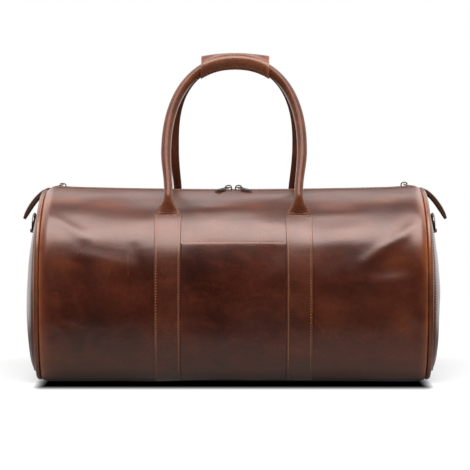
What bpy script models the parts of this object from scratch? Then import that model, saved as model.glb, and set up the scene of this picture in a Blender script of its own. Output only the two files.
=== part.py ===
"""A leather garment duffle bag in metres: +X along the barrel, -Y towards the front pocket, +Z up.

The barrel is one rounded section carried along X. Every sheet of leather, tape or lining is a grid
bent onto that barrel, so that neighbouring pieces take their places from the same section.
"""

import math

import bmesh
import bpy
import numpy as np
from mathutils import Matrix, Vector

# Barrel
BODY_LENGTH = 0.500
BODY_DEPTH = 0.265
RIM_HEIGHT = 0.256
RIDGE_SAG = 0.004
WIDEST_HEIGHT = 0.118
BASE_FLAT_WIDTH = 0.150
SHOULDER_WIDTH = 0.012
SHOULDER_DROP = 0.0025
UPPER_FULLNESS = 2.2
LOWER_FULLNESS = 2.5
LEATHER = 0.0022
GAP = 0.0003
BASE_SEAM_HEIGHT = 0.006
TABLE_STEPS = 240

# Ends
PIPING = 0.0070
DOME_BULGE = 0.0215
DOME_ROUNDNESS = 2.6
DOME_EDGE_STEEPNESS = 0.5
DOME_TOP_FALL_SHARE = 0.5
DOME_RINGS = 7
DOME_SIDES = 40

# Straps, pocket and trim that lie on the barrel
TRIM = 0.0020
STRAP_WIDTH = 0.034
STRAP_SPACING = 0.170
STRAP_TOP_HEIGHT = 0.2185
POCKET_TOP_HEIGHT = 0.183

# Zips, placed by their distance round the barrel from the middle of the top
MAIN_ZIP_PLACE = -0.016
GARMENT_ZIP_PLACE = 0.020
ZIP_OPENING = 0.011
TAPE_REACH = 0.014
TAPE = 0.0008
CHAIN_WIDTH = 0.0062
CHAIN_HEIGHT = 0.0026
ZIP_END_MARGIN = 0.006

# Sliders and their pulls
SLIDER_LENGTH = 0.0095
SLIDER_PLATE = 0.0018
SLIDER_WALL = 0.0012
BAIL_SPAN = 0.0072
BAIL_WIRE = 0.0012
BAIL_RISE = 0.0052
BAIL_WIDTH = 0.0012
HINGE_RISE = 0.0029
MAIN_SLIDER_OFFSET = 0.0068
END_SLIDER_MARGIN = 0.016
PULL_LENGTH = 0.026
PULL_WIDTH = 0.0090
PULL_THICKNESS = 0.0012
PULL_BAR = 0.0010
PULL_WINDOW = 0.0062
PULL_YAW = 52.0
PULL_TIP_CLEARANCE = 0.0022
PULL_GRIP_HOLE = 0.0022
LINK_LENGTH = 0.0185
LINK_WIDTH = 0.0138
LINK_BAR = 0.0014
LINK_PITCH = 2.0
PULLER_WIDTH = 0.0100
PULLER_THICKNESS = 0.0056
PULLER_EYE_WALL = 0.0014
PULLER_REACH = 0.0355
PULLER_DROP = 0.045
PULLER_BEND_SHARES = (0.55, 0.20)
PULLER_NOSE_TURNS = (255, 218, 180, 142, 105)
PULLER_TAPER_SHARE = 0.45
PULLER_STEPS = 8
PULLER_HOLE_STEPS = 10

# Handles
HANDLE_DIAMETER = 0.0130
HANDLE_SKIN = 0.0018
NECK_SPACING = 0.171
HANDLE_SPREAD = 0.1806
NECK_RISE = 0.0265
SPREAD_HEIGHT = 0.3045
HANDLE_TOP_HEIGHT = 0.4258
NECK_DEPTH = 0.083
HANDLE_TOP_DEPTH = 0.0073
LEAN_CURVE = 1.3
ARCH_FULLNESS = 2.25
TAB_BASE_WIDTH = 0.031
TAB_STATIONS = 6
TAB_SIDES = 16
TAB_FLARE_CURVE = 1.8
TAB_THICKNESS_CURVE = 1.5
TAB_ROUNDNESS = (6.0, 2.0)
HANDLE_LEG_STEPS = 4
HANDLE_ARCH_STEPS = 11

# Wrap round both handles
WRAP_LENGTH = 0.092
WRAP_LEATHER = 0.0018
WRAP_CROWN = 0.0040
WRAP_RISE = 0.0020
WRAP_ROOM = 0.0030
WRAP_FULLNESS = 4.2
WRAP_TOP_TURN = 90.0
WRAP_TOP_GAP_TURN = 0.15
FIXED_END_TURN = 284.0
FLAP_STEP_START = -15.0
FLAP_STEP_TURN = 20.0
FLAP_END_TURN = -104.0
SNAP_TURN = -90.0
LAP_ROOM = 0.0012
SNAP_DIAMETER = 0.0100
SNAP_HEIGHT = 0.0016
SNAP_SPACING = 0.056
SNAP_TAPER_SHARE = 0.8

# D-rings and their tabs
RING_WIRE = 0.0040
RING_WIDTH = 0.034
RING_RISE = 0.026
RING_BAR_HEIGHT = 0.196
RING_LEAN = 2.0
RING_STRAIGHT_SHARE = 0.25
RING_ARC_STEPS = 12
CHAPE_WIDTH = 0.024
CHAPE_DROP = 0.030
CHAPE_LEATHER = 0.0018
CHAPE_LOOP_TURNS = (190.0, -30.0)
CHAPE_LOOP_STEPS = 8
CHAPE_STEPS = 5

# Inside
LINING = 0.0010
LINING_MOUTH = 0.036
BOARD_LENGTH = 0.460
BOARD_WIDTH = 0.130
BOARD_THICKNESS = 0.0025

HALF_LENGTH = BODY_LENGTH / 2
END_SLIDER_OFFSET = HALF_LENGTH - END_SLIDER_MARGIN
NECK_HEIGHT = STRAP_TOP_HEIGHT + NECK_RISE
HALF_DEPTH = BODY_DEPTH / 2
HALF_FLAT = BASE_FLAT_WIDTH / 2
CROWN = RIM_HEIGHT - RIDGE_SAG - WIDEST_HEIGHT
HANDLE_RADIUS = HANDLE_DIAMETER / 2
LINING_PLACE = LEATHER + BOARD_THICKNESS + 2 * GAP
CHAIN_TOP = -(LEATHER + 2 * GAP + TAPE / 2 - CHAIN_HEIGHT / 2)
PLATE_TOP = CHAIN_TOP + GAP + SLIDER_PLATE
EDGE_X = HALF_LENGTH + GAP + PIPING / 2


def clear_scene():
    for item in list(bpy.data.objects):
        bpy.data.objects.remove(item, do_unlink=True)


def new_collection(name):
    made = bpy.data.collections.new(name)
    bpy.context.scene.collection.children.link(made)
    return made


def material(name, colour, roughness, metallic=0.0):
    made = bpy.data.materials.new(name)
    made.use_nodes = True
    shader = made.node_tree.nodes["Principled BSDF"]
    shader.inputs["Base Color"].default_value = (*colour, 1.0)
    shader.inputs["Roughness"].default_value = roughness
    shader.inputs["Metallic"].default_value = metallic
    return made


clear_scene()
BAG = new_collection("garment_duffle_bag")
CUTTERS = new_collection("cutters")
HULL_LEATHER = material("hull_leather", (0.075, 0.022, 0.014), 0.38)
TRIM_LEATHER = material("trim_leather", (0.110, 0.034, 0.018), 0.42)
CORE_FOAM = material("core_foam", (0.60, 0.58, 0.52), 0.90)
ZIP_TAPE = material("zip_tape", (0.040, 0.022, 0.016), 0.85)
ZIP_METAL = material("zip_metal", (0.16, 0.13, 0.10), 0.35, 1.0)
RING_METAL = material("ring_metal", (0.12, 0.10, 0.08), 0.32, 1.0)
LINING_CLOTH = material("lining_cloth", (0.09, 0.07, 0.05), 0.90)
BOARD_STOCK = material("board_stock", (0.05, 0.04, 0.035), 0.80)


def half_section():
    """The barrel's outline from the middle of the top to the middle of the base, on the +Y side."""
    turn = np.linspace(0, math.pi / 2, TABLE_STEPS)
    across = np.clip(np.sin(turn), 0, 1)
    down = np.clip(np.cos(turn), 0, 1)
    upper_y = HALF_DEPTH * across ** (2 / UPPER_FULLNESS)
    upper_z = WIDEST_HEIGHT + CROWN * down ** (2 / UPPER_FULLNESS)
    lower_y = HALF_FLAT + (HALF_DEPTH - HALF_FLAT) * down ** (2 / LOWER_FULLNESS)
    lower_z = WIDEST_HEIGHT * (1 - across ** (2 / LOWER_FULLNESS))
    y = np.concatenate([upper_y, lower_y[1:], [0]])
    z = np.concatenate([upper_z, lower_z[1:], [0]])
    girth = np.concatenate([[0], np.cumsum(np.hypot(np.diff(y), np.diff(z)))])
    slope_y = np.gradient(y, girth)
    slope_z = np.gradient(z, girth)
    length = np.hypot(slope_y, slope_z)
    return girth, y, z, -slope_z / length, slope_y / length


GIRTH, OUTLINE_Y, OUTLINE_Z, NORMAL_Y, NORMAL_Z = half_section()
HALF_GIRTH = GIRTH[-1]


def on_barrel(x, place, out=0.0):
    """A point `out` above the leather, at a distance `place` round the barrel from the top."""
    if abs(place) > HALF_GIRTH:
        place -= math.copysign(2 * HALF_GIRTH, place)
    side = -1 if place < 0 else 1
    y, z, across, up = (
        float(np.interp(abs(place), GIRTH, row))
        for row in (OUTLINE_Y, OUTLINE_Z, NORMAL_Y, NORMAL_Z)
    )
    rise = max(0, (z - WIDEST_HEIGHT) / CROWN) * RIDGE_SAG * min(1, (x / HALF_LENGTH) ** 2)
    over = min(1, max(0, (abs(x) - HALF_LENGTH + SHOULDER_WIDTH) / SHOULDER_WIDTH))
    out -= SHOULDER_DROP * over * over
    return Vector((x, side * (y + across * out), z + rise + up * out))


def place_at_height(height, lower=False):
    """The distance round the barrel at which its front or back reaches this height."""
    widest = int(np.argmax(OUTLINE_Y))
    z, girth = (OUTLINE_Z[widest:], GIRTH[widest:]) if lower else (OUTLINE_Z[:widest], GIRTH[:widest])
    return float(np.interp(-height, -z, girth))


def finish(item, name, look, smooth=True):
    item.name = name
    item.data.name = name
    item.data.materials.clear()
    item.data.materials.append(look)
    if smooth and item.type == "MESH":
        item.data.shade_smooth()
        item.data.set_sharp_from_angle(angle=math.radians(40))
    return item


def mesh_object(name, bm, look, collection=BAG):
    mesh = bpy.data.meshes.new(name)
    bm.to_mesh(mesh)
    bm.free()
    item = bpy.data.objects.new(name, mesh)
    collection.objects.link(item)
    return finish(item, name, look)


def solidify(item, thickness, offset=-1.0):
    shell = item.modifiers.new("thickness", "SOLIDIFY")
    shell.thickness = thickness
    shell.offset = offset
    shell.use_even_offset = True
    return item


def sheet(name, xs, places, out, thickness, cuts, look):
    """A sheet bent onto the barrel, whose outer face lies `out` above the leather's outer face."""
    bm = bmesh.new()
    bmesh.ops.create_grid(bm, x_segments=cuts[0], y_segments=cuts[1], size=1)
    reach = max(v.co.x for v in bm.verts)
    whole = abs(xs[1] - xs[0]) > BODY_LENGTH / 2
    for v in bm.verts:
        along, round_it = v.co.x / reach, v.co.y / reach
        if whole:
            along, round_it = (math.sin(u * math.pi / 2) for u in (along, round_it))
        x = (xs[0] + xs[1]) / 2 + (xs[1] - xs[0]) / 2 * along
        place = (places[0] + places[1]) / 2 + (places[1] - places[0]) / 2 * round_it
        v.co = on_barrel(x, place, out)
    face_out(bm)
    return solidify(mesh_object(name, bm, look), thickness)


def face_out(bm):
    """Turns an open sheet's faces away from the barrel's axis."""
    bm.normal_update()
    axis = Vector((0, 0, WIDEST_HEIGHT))
    facing = sum(
        f.normal.dot(Vector((0, *(f.calc_center_median() - axis)[1:]))) for f in bm.faces
    )
    if facing < 0:
        bmesh.ops.reverse_faces(bm, faces=bm.faces)


def loft(rings, closed_ring=True, caps=False, tip=None):
    """Faces between rings of points, which all have the same number of points."""
    bm = bmesh.new()
    rows = [[bm.verts.new(p) for p in ring] for ring in rings]
    count = len(rows[0])
    for low, high in zip(rows, rows[1:]):
        for i in range(count if closed_ring else count - 1):
            j = (i + 1) % count
            bm.faces.new((low[i], low[j], high[j], high[i]))
    if caps:
        bm.faces.new(list(reversed(rows[0])))
        bm.faces.new(rows[-1])
    if tip is not None:
        point = bm.verts.new(tip)
        for i in range(count):
            bm.faces.new((rows[-1][i], rows[-1][(i + 1) % count], point))
    return bm


def tube(name, points, diameter, look, cyclic=False, capped=True, resolution=2):
    """A round rod or pipe along points."""
    curve = bpy.data.curves.new(name, "CURVE")
    curve.dimensions = "3D"
    curve.bevel_depth = diameter / 2
    curve.bevel_resolution = resolution
    curve.use_fill_caps = capped
    spline = curve.splines.new("POLY")
    spline.points.add(len(points) - 1)
    for point, co in zip(spline.points, points):
        point.co = (*co, 1)
    spline.use_cyclic_u = cyclic
    spline.use_smooth = True
    item = bpy.data.objects.new(name, curve)
    BAG.objects.link(item)
    curve.materials.append(look)
    return item


def outline_plate(name, outlines, thickness, look, collection=BAG):
    """A flat plate with its outlines in the local XY plane, the first one its edge and the rest holes."""
    curve = bpy.data.curves.new(name, "CURVE")
    curve.dimensions = "2D"
    curve.fill_mode = "BOTH"
    curve.extrude = thickness / 2
    for outline in outlines:
        spline = curve.splines.new("POLY")
        spline.points.add(len(outline) - 1)
        for point, co in zip(spline.points, outline):
            point.co = (*co, 0, 1)
        spline.use_cyclic_u = True
    item = bpy.data.objects.new(name, curve)
    collection.objects.link(item)
    curve.materials.append(look)
    return item


def as_mesh(item, name, look, collection=BAG):
    """The curve object made a mesh, with its caps welded."""
    depsgraph = bpy.context.evaluated_depsgraph_get()
    mesh = bpy.data.meshes.new_from_object(item.evaluated_get(depsgraph))
    bm = bmesh.new()
    bm.from_mesh(mesh)
    bmesh.ops.remove_doubles(bm, verts=bm.verts, dist=GAP / 30)
    bm.to_mesh(mesh)
    bm.free()
    made = bpy.data.objects.new(name, mesh)
    made.matrix_world = item.matrix_world.copy()
    collection.objects.link(made)
    bpy.data.objects.remove(item, do_unlink=True)
    return finish(made, name, look)


def rounded(x0, x1, y0, y1, radius, steps=3):
    """A rectangle's outline with round corners."""
    points = []
    corners = ((x1, y1, 0), (x0, y1, 90), (x0, y0, 180), (x1, y0, 270))
    for cx, cy, start in corners:
        middle_x = cx - math.copysign(radius, cx - (x0 + x1) / 2)
        middle_y = cy - math.copysign(radius, cy - (y0 + y1) / 2)
        for i in range(steps + 1):
            turn = math.radians(start + 90 * i / steps)
            points.append((middle_x + radius * math.cos(turn), middle_y + radius * math.sin(turn)))
    return points


def box(name, low, high, look, collection=BAG):
    bm = bmesh.new()
    bmesh.ops.create_cube(bm, size=1)
    middle = (Vector(low) + Vector(high)) / 2
    size = Vector(high) - Vector(low)
    for v in bm.verts:
        v.co = Vector(a * b for a, b in zip(v.co, size)) + middle
    return mesh_object(name, bm, look, collection)


def boolean(item, other, operation):
    other.hide_render = True
    other.display_type = "WIRE"
    cut = item.modifiers.new(operation.lower(), "BOOLEAN")
    cut.operation = operation
    cut.solver = "EXACT"
    cut.use_self = True
    cut.object = other
    return item


def empty(name, place, rotation=None):
    item = bpy.data.objects.new(name, None)
    item.matrix_world = Matrix.Translation(place) @ (rotation.to_4x4() if rotation else Matrix())
    BAG.objects.link(item)
    return item


def hang(item, parent, local=None):
    """Parents an item whose mesh is in the parent's own frame, or in the world where none is given."""
    item.parent = parent
    item.matrix_parent_inverse = Matrix()
    item.matrix_basis = parent.matrix_world.inverted() if local is None else local
    return item


# Shell of the barrel
def shell():
    seam = place_at_height(BASE_SEAM_HEIGHT, lower=True)
    xs = (-HALF_LENGTH, HALF_LENGTH)
    open_half = ZIP_OPENING / 2
    front_edge = MAIN_ZIP_PLACE - open_half
    back_edge = GARMENT_ZIP_PLACE + open_half
    sheet("front_panel", xs, (-seam, front_edge), 0, LEATHER, (14, 18), HULL_LEATHER)
    sheet("back_panel", xs, (back_edge, seam), 0, LEATHER, (14, 18), HULL_LEATHER)
    strip = (MAIN_ZIP_PLACE + open_half, GARMENT_ZIP_PLACE - open_half)
    sheet("top_strip", xs, strip, 0, LEATHER, (14, 3), HULL_LEATHER)
    under = (seam + GAP, 2 * HALF_GIRTH - seam - GAP)
    sheet("base_panel", xs, under, 0, LEATHER, (14, 12), HULL_LEATHER)


# End panels and piping
def dome_edge(side, place):
    edge = on_barrel(side * HALF_LENGTH, place, -(PIPING + GAP))
    return Vector((side * EDGE_X, edge.y, edge.z))


def dome_bulge(share, height):
    """How far the end panel stands out of its seam, by its share of the way out to the seam."""
    swell = max(0, 1 - share**DOME_ROUNDNESS) ** DOME_EDGE_STEEPNESS
    above = max(0, (height - WIDEST_HEIGHT) / CROWN)
    return DOME_BULGE * swell * (1 - DOME_TOP_FALL_SHARE * above)


def on_dome_middle(height):
    """How far along X the end panel's outer face lies at this height, halfway between front and back."""
    top = dome_edge(1, 0).z
    bottom = dome_edge(1, HALF_GIRTH).z
    reach = top - WIDEST_HEIGHT if height > WIDEST_HEIGHT else WIDEST_HEIGHT - bottom
    return EDGE_X + dome_bulge(min(1, abs(height - WIDEST_HEIGHT) / reach), height)


def end_panel(side, name):
    places = [HALF_GIRTH * (2 * i / DOME_SIDES - 1) for i in range(DOME_SIDES)]
    edge = [dome_edge(side, p) for p in places]
    centre = Vector((side * EDGE_X, 0, WIDEST_HEIGHT))
    rings = []
    for ring in range(DOME_RINGS):
        share = math.cos(math.pi / 2 * ring / DOME_RINGS)
        points = [centre.lerp(p, share) for p in edge]
        for p in points:
            p.x += side * dome_bulge(share, p.z)
        rings.append(points)
    tip = centre + Vector((side * DOME_BULGE, 0, 0))
    bm = loft(rings, tip=tip)
    bmesh.ops.recalc_face_normals(bm, faces=bm.faces)
    bm.normal_update()
    if sum(f.normal.x for f in bm.faces) * side < 0:
        bmesh.ops.reverse_faces(bm, faces=bm.faces)
    return solidify(mesh_object(name, bm, HULL_LEATHER), LEATHER)


def piping(side, name):
    places = [HALF_GIRTH * (2 * i / DOME_SIDES - 1) for i in range(DOME_SIDES)]
    points = [on_barrel(side * HALF_LENGTH, p, -PIPING / 2) for p in places]
    for p in points:
        p.x = side * EDGE_X
    return tube(name, points, PIPING, TRIM_LEATHER, cyclic=True)


# Straps and pocket
def straps_and_pocket():
    seam = place_at_height(BASE_SEAM_HEIGHT, lower=True) - GAP
    top = place_at_height(STRAP_TOP_HEIGHT)
    pocket_top = place_at_height(POCKET_TOP_HEIGHT)
    out = GAP + TRIM
    for face, sign in (("front", -1), ("back", 1)):
        for side_name, side in (("left", -1), ("right", 1)):
            middle = side * STRAP_SPACING / 2
            xs = (middle - STRAP_WIDTH / 2, middle + STRAP_WIDTH / 2)
            places = sorted((sign * seam, sign * top))
            sheet(f"strap_{face}_{side_name}", xs, places, out, TRIM, (2, 28), TRIM_LEATHER)
    inner = (STRAP_SPACING - STRAP_WIDTH) / 2 - GAP
    sheet("front_pocket", (-inner, inner), (-seam, -pocket_top), out, TRIM, (4, 24), HULL_LEATHER)


# Zips
def zip_line(name, place):
    reach = HALF_LENGTH - ZIP_END_MARGIN
    xs = (-reach, reach)
    near = CHAIN_WIDTH / 2 + GAP
    depth = -(LEATHER + 2 * GAP)
    for face, sign in (("front", -1), ("back", 1)):
        places = sorted((place + sign * near, place + sign * TAPE_REACH))
        sheet(f"{name}_zip_tape_{face}", xs, places, depth, TAPE, (14, 1), ZIP_TAPE)
    places = (place - CHAIN_WIDTH / 2, place + CHAIN_WIDTH / 2)
    sheet(f"{name}_zip_chain", xs, places, CHAIN_TOP, CHAIN_HEIGHT, (14, 1), ZIP_METAL)


def slider_frame(x, place):
    """The frame of a slider: its origin in the leather's outer face, its Z square to it."""
    origin = on_barrel(x, place)
    up = on_barrel(x, place, LEATHER) - origin
    tilt = math.atan2(-up.y, up.z)
    return origin, Matrix.Rotation(tilt, 3, "X")


def slider(name, x, place):
    origin, rotation = slider_frame(x, place)
    carrier = empty(f"{name}_axis", origin, rotation)
    half = SLIDER_LENGTH / 2
    side = CHAIN_WIDTH / 2 + GAP
    foot = -LEATHER
    body = box(name, (-half, -side - SLIDER_WALL, foot), (half, side + SLIDER_WALL, PLATE_TOP), ZIP_METAL)
    channel = box(
        f"{name}_channel",
        (-SLIDER_LENGTH, -side, -LEATHER - CHAIN_HEIGHT),
        (SLIDER_LENGTH, side, CHAIN_TOP + GAP),
        ZIP_METAL,
        CUTTERS,
    )
    bail_foot = PLATE_TOP - SLIDER_PLATE / 2
    bail_top = PLATE_TOP + BAIL_RISE
    reach = BAIL_SPAN / 2
    bail = outline_plate(
        f"{name}_bail",
        [
            rounded(-reach, reach, bail_foot, bail_top, BAIL_WIRE),
            rounded(
                -reach + BAIL_WIRE, reach - BAIL_WIRE, PLATE_TOP - GAP, bail_top - BAIL_WIRE, BAIL_WIRE / 2
            ),
        ],
        BAIL_WIDTH,
        ZIP_METAL,
        CUTTERS,
    )
    bail = as_mesh(bail, f"{name}_bail", ZIP_METAL, CUTTERS)
    upright = Matrix.Rotation(math.pi / 2, 4, "X")
    for item in (channel, bail):
        item.parent = carrier
        item.matrix_parent_inverse = Matrix()
    channel.matrix_basis = Matrix()
    bail.matrix_basis = upright
    hang(body, carrier, Matrix())
    boolean(body, channel, "DIFFERENCE")
    boolean(body, bail, "UNION")
    return carrier


def hinge_place(x, place):
    origin, rotation = slider_frame(x, place)
    return origin + rotation @ Vector((0, 0, PLATE_TOP + HINGE_RISE)), rotation


def pull_axes(side):
    """The frame of a main pull: X along the pull, whose tip lies just over the leather, Y along its bar."""
    place, _ = hinge_place(side * MAIN_SLIDER_OFFSET, MAIN_ZIP_PLACE)
    heading = math.radians(270 + side * (90 - PULL_YAW))
    tip = place + PULL_LENGTH * Vector((math.cos(heading), math.sin(heading), 0))
    widest = int(np.argmax(OUTLINE_Y))
    under = on_barrel(tip.x, -float(np.interp(-tip.y, OUTLINE_Y[:widest], GIRTH[:widest])))
    fall = place.z - under.z - PULL_TIP_CLEARANCE
    turn = Matrix.Rotation(heading, 3, "Z") @ Matrix.Rotation(math.atan2(fall, PULL_LENGTH), 3, "Y")
    return place, turn


def main_pull(side, name):
    place, turn = pull_axes(side)
    hinge = empty(f"{name}_hinge", place, turn)
    half = PULL_WIDTH / 2
    bar = PULL_THICKNESS / 2
    outer = rounded(-bar, PULL_LENGTH, -half, half, half / 2)
    window = rounded(bar, bar + PULL_WINDOW, -half + PULL_BAR, half - PULL_BAR, PULL_BAR / 2)
    end = PULL_LENGTH - half
    hole = PULL_GRIP_HOLE
    grip = rounded(end - hole, end + hole / 2, -hole / 2, hole / 2, hole / 3)
    plate = outline_plate(f"{name}_plate", [outer, window, grip], PULL_THICKNESS, ZIP_METAL)
    return hang(as_mesh(plate, name, ZIP_METAL), hinge, Matrix())


def link_axes(side):
    place, _ = hinge_place(side * END_SLIDER_OFFSET, GARMENT_ZIP_PLACE)
    heading = 0 if side > 0 else math.pi
    turn = Matrix.Rotation(heading, 3, "Z") @ Matrix.Rotation(math.radians(LINK_PITCH), 3, "Y")
    return place, turn


def end_puller(side, name):
    """The metal link through the slider's bail and the leather puller folded over its far bar."""
    place, turn = link_axes(side)
    hinge = empty(f"{name}_hinge", place, turn)
    half = LINK_WIDTH / 2
    bar = LINK_BAR / 2
    outer = rounded(-bar, LINK_LENGTH + bar, -half, half, LINK_BAR)
    window = rounded(bar, LINK_LENGTH - bar, -half + LINK_BAR, half - LINK_BAR, bar)
    plate = outline_plate(f"{name}_ring", [outer, window], LINK_BAR, ZIP_METAL)
    hang(as_mesh(plate, f"{name}_link", ZIP_METAL), hinge, Matrix())

    start = Vector((0, 0))
    bend = Vector((PULLER_REACH * PULLER_BEND_SHARES[0], -PULLER_DROP * PULLER_BEND_SHARES[1]))
    end = Vector((PULLER_REACH, -PULLER_DROP))
    eye = LINK_BAR / math.sqrt(2) + GAP
    upper, lower = [], []
    for i in range(PULLER_STEPS + 1):
        t = i / PULLER_STEPS
        middle = (1 - t) ** 2 * start + 2 * t * (1 - t) * bend + t * t * end
        heading = (2 * (1 - t) * (bend - start) + 2 * t * (end - bend)).normalized()
        swell = PULLER_THICKNESS / 2 * (1 - PULLER_TAPER_SHARE * (2 * t - 1) ** 4)
        square = Vector((-heading.y, heading.x))
        upper.append(middle + square * swell)
        lower.append(middle - square * swell)
    nose = []
    for degrees in PULLER_NOSE_TURNS:
        turn = math.radians(degrees)
        nose.append(start + Vector((math.cos(turn), math.sin(turn))) * (eye + PULLER_EYE_WALL))
    rim = lower[:0:-1] + nose + upper[1:]
    turns = [2 * math.pi * k / PULLER_HOLE_STEPS for k in range(PULLER_HOLE_STEPS)]
    hole = [(eye * math.cos(turn), eye * math.sin(turn)) for turn in turns]
    profile = outline_plate(f"{name}_profile", [[tuple(p) for p in rim], hole], PULLER_WIDTH, TRIM_LEATHER)
    strap = as_mesh(profile, f"{name}_leather", TRIM_LEATHER)
    upright = Matrix.Rotation(math.pi / 2, 4, "X")
    level = Matrix.Rotation(-math.radians(LINK_PITCH), 4, "Y")
    hang(strap, hinge, Matrix.Translation((LINK_LENGTH, 0, 0)) @ level @ upright)


# Handles
def handle_depth(height):
    fall = max(0, (HANDLE_TOP_HEIGHT - height) / (HANDLE_TOP_HEIGHT - NECK_HEIGHT))
    return HANDLE_TOP_DEPTH + (NECK_DEPTH - HANDLE_TOP_DEPTH) * fall**LEAN_CURVE


def handle_half():
    """The middle line of half a handle in X and Z, from the neck up to the top."""
    points = []
    for i in range(HANDLE_LEG_STEPS):
        t = i / HANDLE_LEG_STEPS
        ease = (1 - math.cos(math.pi * t)) / 2
        x = (NECK_SPACING + (HANDLE_SPREAD - NECK_SPACING) * ease) / 2
        points.append((x, NECK_HEIGHT + (SPREAD_HEIGHT - NECK_HEIGHT) * t))
    for i in range(HANDLE_ARCH_STEPS + 1):
        turn = math.pi / 2 * i / HANDLE_ARCH_STEPS
        across = max(0, math.cos(turn)) ** (2 / ARCH_FULLNESS)
        up = math.sin(turn) ** (2 / ARCH_FULLNESS)
        points.append((HANDLE_SPREAD / 2 * across, SPREAD_HEIGHT + (HANDLE_TOP_HEIGHT - SPREAD_HEIGHT) * up))
    return points


def handle_points(sign):
    half = [Vector((x, sign * handle_depth(z), z)) for x, z in handle_half()]
    mirrored = [Vector((-p.x, p.y, p.z)) for p in half]
    return mirrored + list(reversed(half))[1:]


def neck_heading(sign):
    """The way up out of the neck, without its small lean along X."""
    points = handle_points(sign)
    way = points[1] - points[0]
    way.x = 0
    return way.normalized()


def handle_hinge(sign):
    """A point on the axis that a handle folds about, along the outer face of its two necks."""
    way = neck_heading(sign)
    outward = Vector((0, sign * way.z, -sign * way.y))
    return Vector((0, sign * NECK_DEPTH, NECK_HEIGHT)) + outward * HANDLE_RADIUS


def handle(sign, name):
    hinge = empty(f"{name}_hinge", handle_hinge(sign))
    points = handle_points(sign)
    skin = tube(name, points, HANDLE_DIAMETER, TRIM_LEATHER, capped=False, resolution=3)
    solidify(skin, HANDLE_SKIN)
    core = HANDLE_DIAMETER - 2 * HANDLE_SKIN - 4 * GAP
    rod = tube(f"{name}_core", points, core, CORE_FOAM, resolution=1)
    for item in (skin, rod):
        hang(item, hinge)
    return hinge


def tab(sign, side, name):
    """A handle's flared root, flat where it meets the strap and round at the neck."""
    base_place = sign * (place_at_height(STRAP_TOP_HEIGHT) - GAP)
    thickness = TRIM
    x_base = side * STRAP_SPACING / 2
    x_neck = side * NECK_SPACING / 2
    foot = on_barrel(x_base, base_place, GAP + thickness / 2)
    further = on_barrel(x_base, base_place - sign * TRIM, GAP + thickness / 2)
    climb = (further - foot).normalized()
    way = neck_heading(sign)
    neck = Vector((x_neck, sign * NECK_DEPTH, NECK_HEIGHT)) - way * GAP
    span = (neck - foot).length
    rings = []
    for i in range(TAB_STATIONS + 1):
        t = i / TAB_STATIONS
        pull_a = foot + climb * span / 3
        pull_b = neck - way * span / 3
        near_foot = (1 - t) ** 3 * foot + 3 * t * (1 - t) ** 2 * pull_a
        middle = near_foot + 3 * t * t * (1 - t) * pull_b + t**3 * neck
        heading = (
            (1 - t) ** 2 * (pull_a - foot) + 2 * t * (1 - t) * (pull_b - pull_a) + t * t * (neck - pull_b)
        ).normalized()
        square = Vector((0, -heading.z, heading.y)).normalized()
        flare = (1 - t) ** TAB_FLARE_CURVE
        half_width = HANDLE_RADIUS + (TAB_BASE_WIDTH / 2 - HANDLE_RADIUS) * flare
        half_thick = thickness / 2 + (HANDLE_RADIUS - thickness / 2) * t**TAB_THICKNESS_CURVE
        roundness = TAB_ROUNDNESS[0] * (1 - t) + TAB_ROUNDNESS[1] * t
        ring = []
        for k in range(TAB_SIDES):
            a = 2 * math.pi * (k + 0.5) / TAB_SIDES
            ca, sa = math.cos(a), math.sin(a)
            across = math.copysign(abs(ca) ** (2 / roundness), ca) * half_width
            deep = math.copysign(abs(sa) ** (2 / roundness), sa) * half_thick
            ring.append(middle + Vector((across, 0, 0)) + square * deep)
        rings.append(ring)
    bm = loft(rings, caps=True)
    bmesh.ops.recalc_face_normals(bm, faces=bm.faces)
    return mesh_object(name, bm, TRIM_LEATHER)


# Wrap
def arch_at(x):
    """Height and slope of the handles' middle line above this X, inside the wrap."""
    share = min(1, abs(x) / (HANDLE_SPREAD / 2))
    up = (1 - share**ARCH_FULLNESS) ** (1 / ARCH_FULLNESS)
    rise = HANDLE_TOP_HEIGHT - SPREAD_HEIGHT
    slope = rise / (HANDLE_SPREAD / 2) * (share / up) ** (ARCH_FULLNESS - 1)
    return SPREAD_HEIGHT + rise * up, slope


def wrap_ring(x, grow):
    """The wrap's oval at X, as its middle height, half height and half width."""
    height, slope = arch_at(x)
    reach = HANDLE_RADIUS * math.hypot(1, slope)
    bottom = height - reach - 3 * GAP
    crown = WRAP_CROWN * (2 * x / WRAP_LENGTH) ** 2
    top = HANDLE_TOP_HEIGHT + HANDLE_RADIUS + WRAP_RISE - crown
    half_width = handle_depth(height) + HANDLE_RADIUS + WRAP_ROOM * abs(2 * x / WRAP_LENGTH) + 2 * GAP
    return (top + bottom) / 2, (top - bottom) / 2 + grow, half_width + grow


def wrap_point(x, degrees, grow):
    """A point on the wrap's oval at X, `grow` outside the room that the handles need."""
    middle, tall, wide = wrap_ring(x, grow)
    turn = math.radians(degrees)
    across, up = math.cos(turn), math.sin(turn)
    y = math.copysign(abs(across) ** (2 / WRAP_FULLNESS), across) * wide
    z = middle + math.copysign(abs(up) ** (2 / WRAP_FULLNESS), up) * tall
    return Vector((x, y, z))


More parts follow.
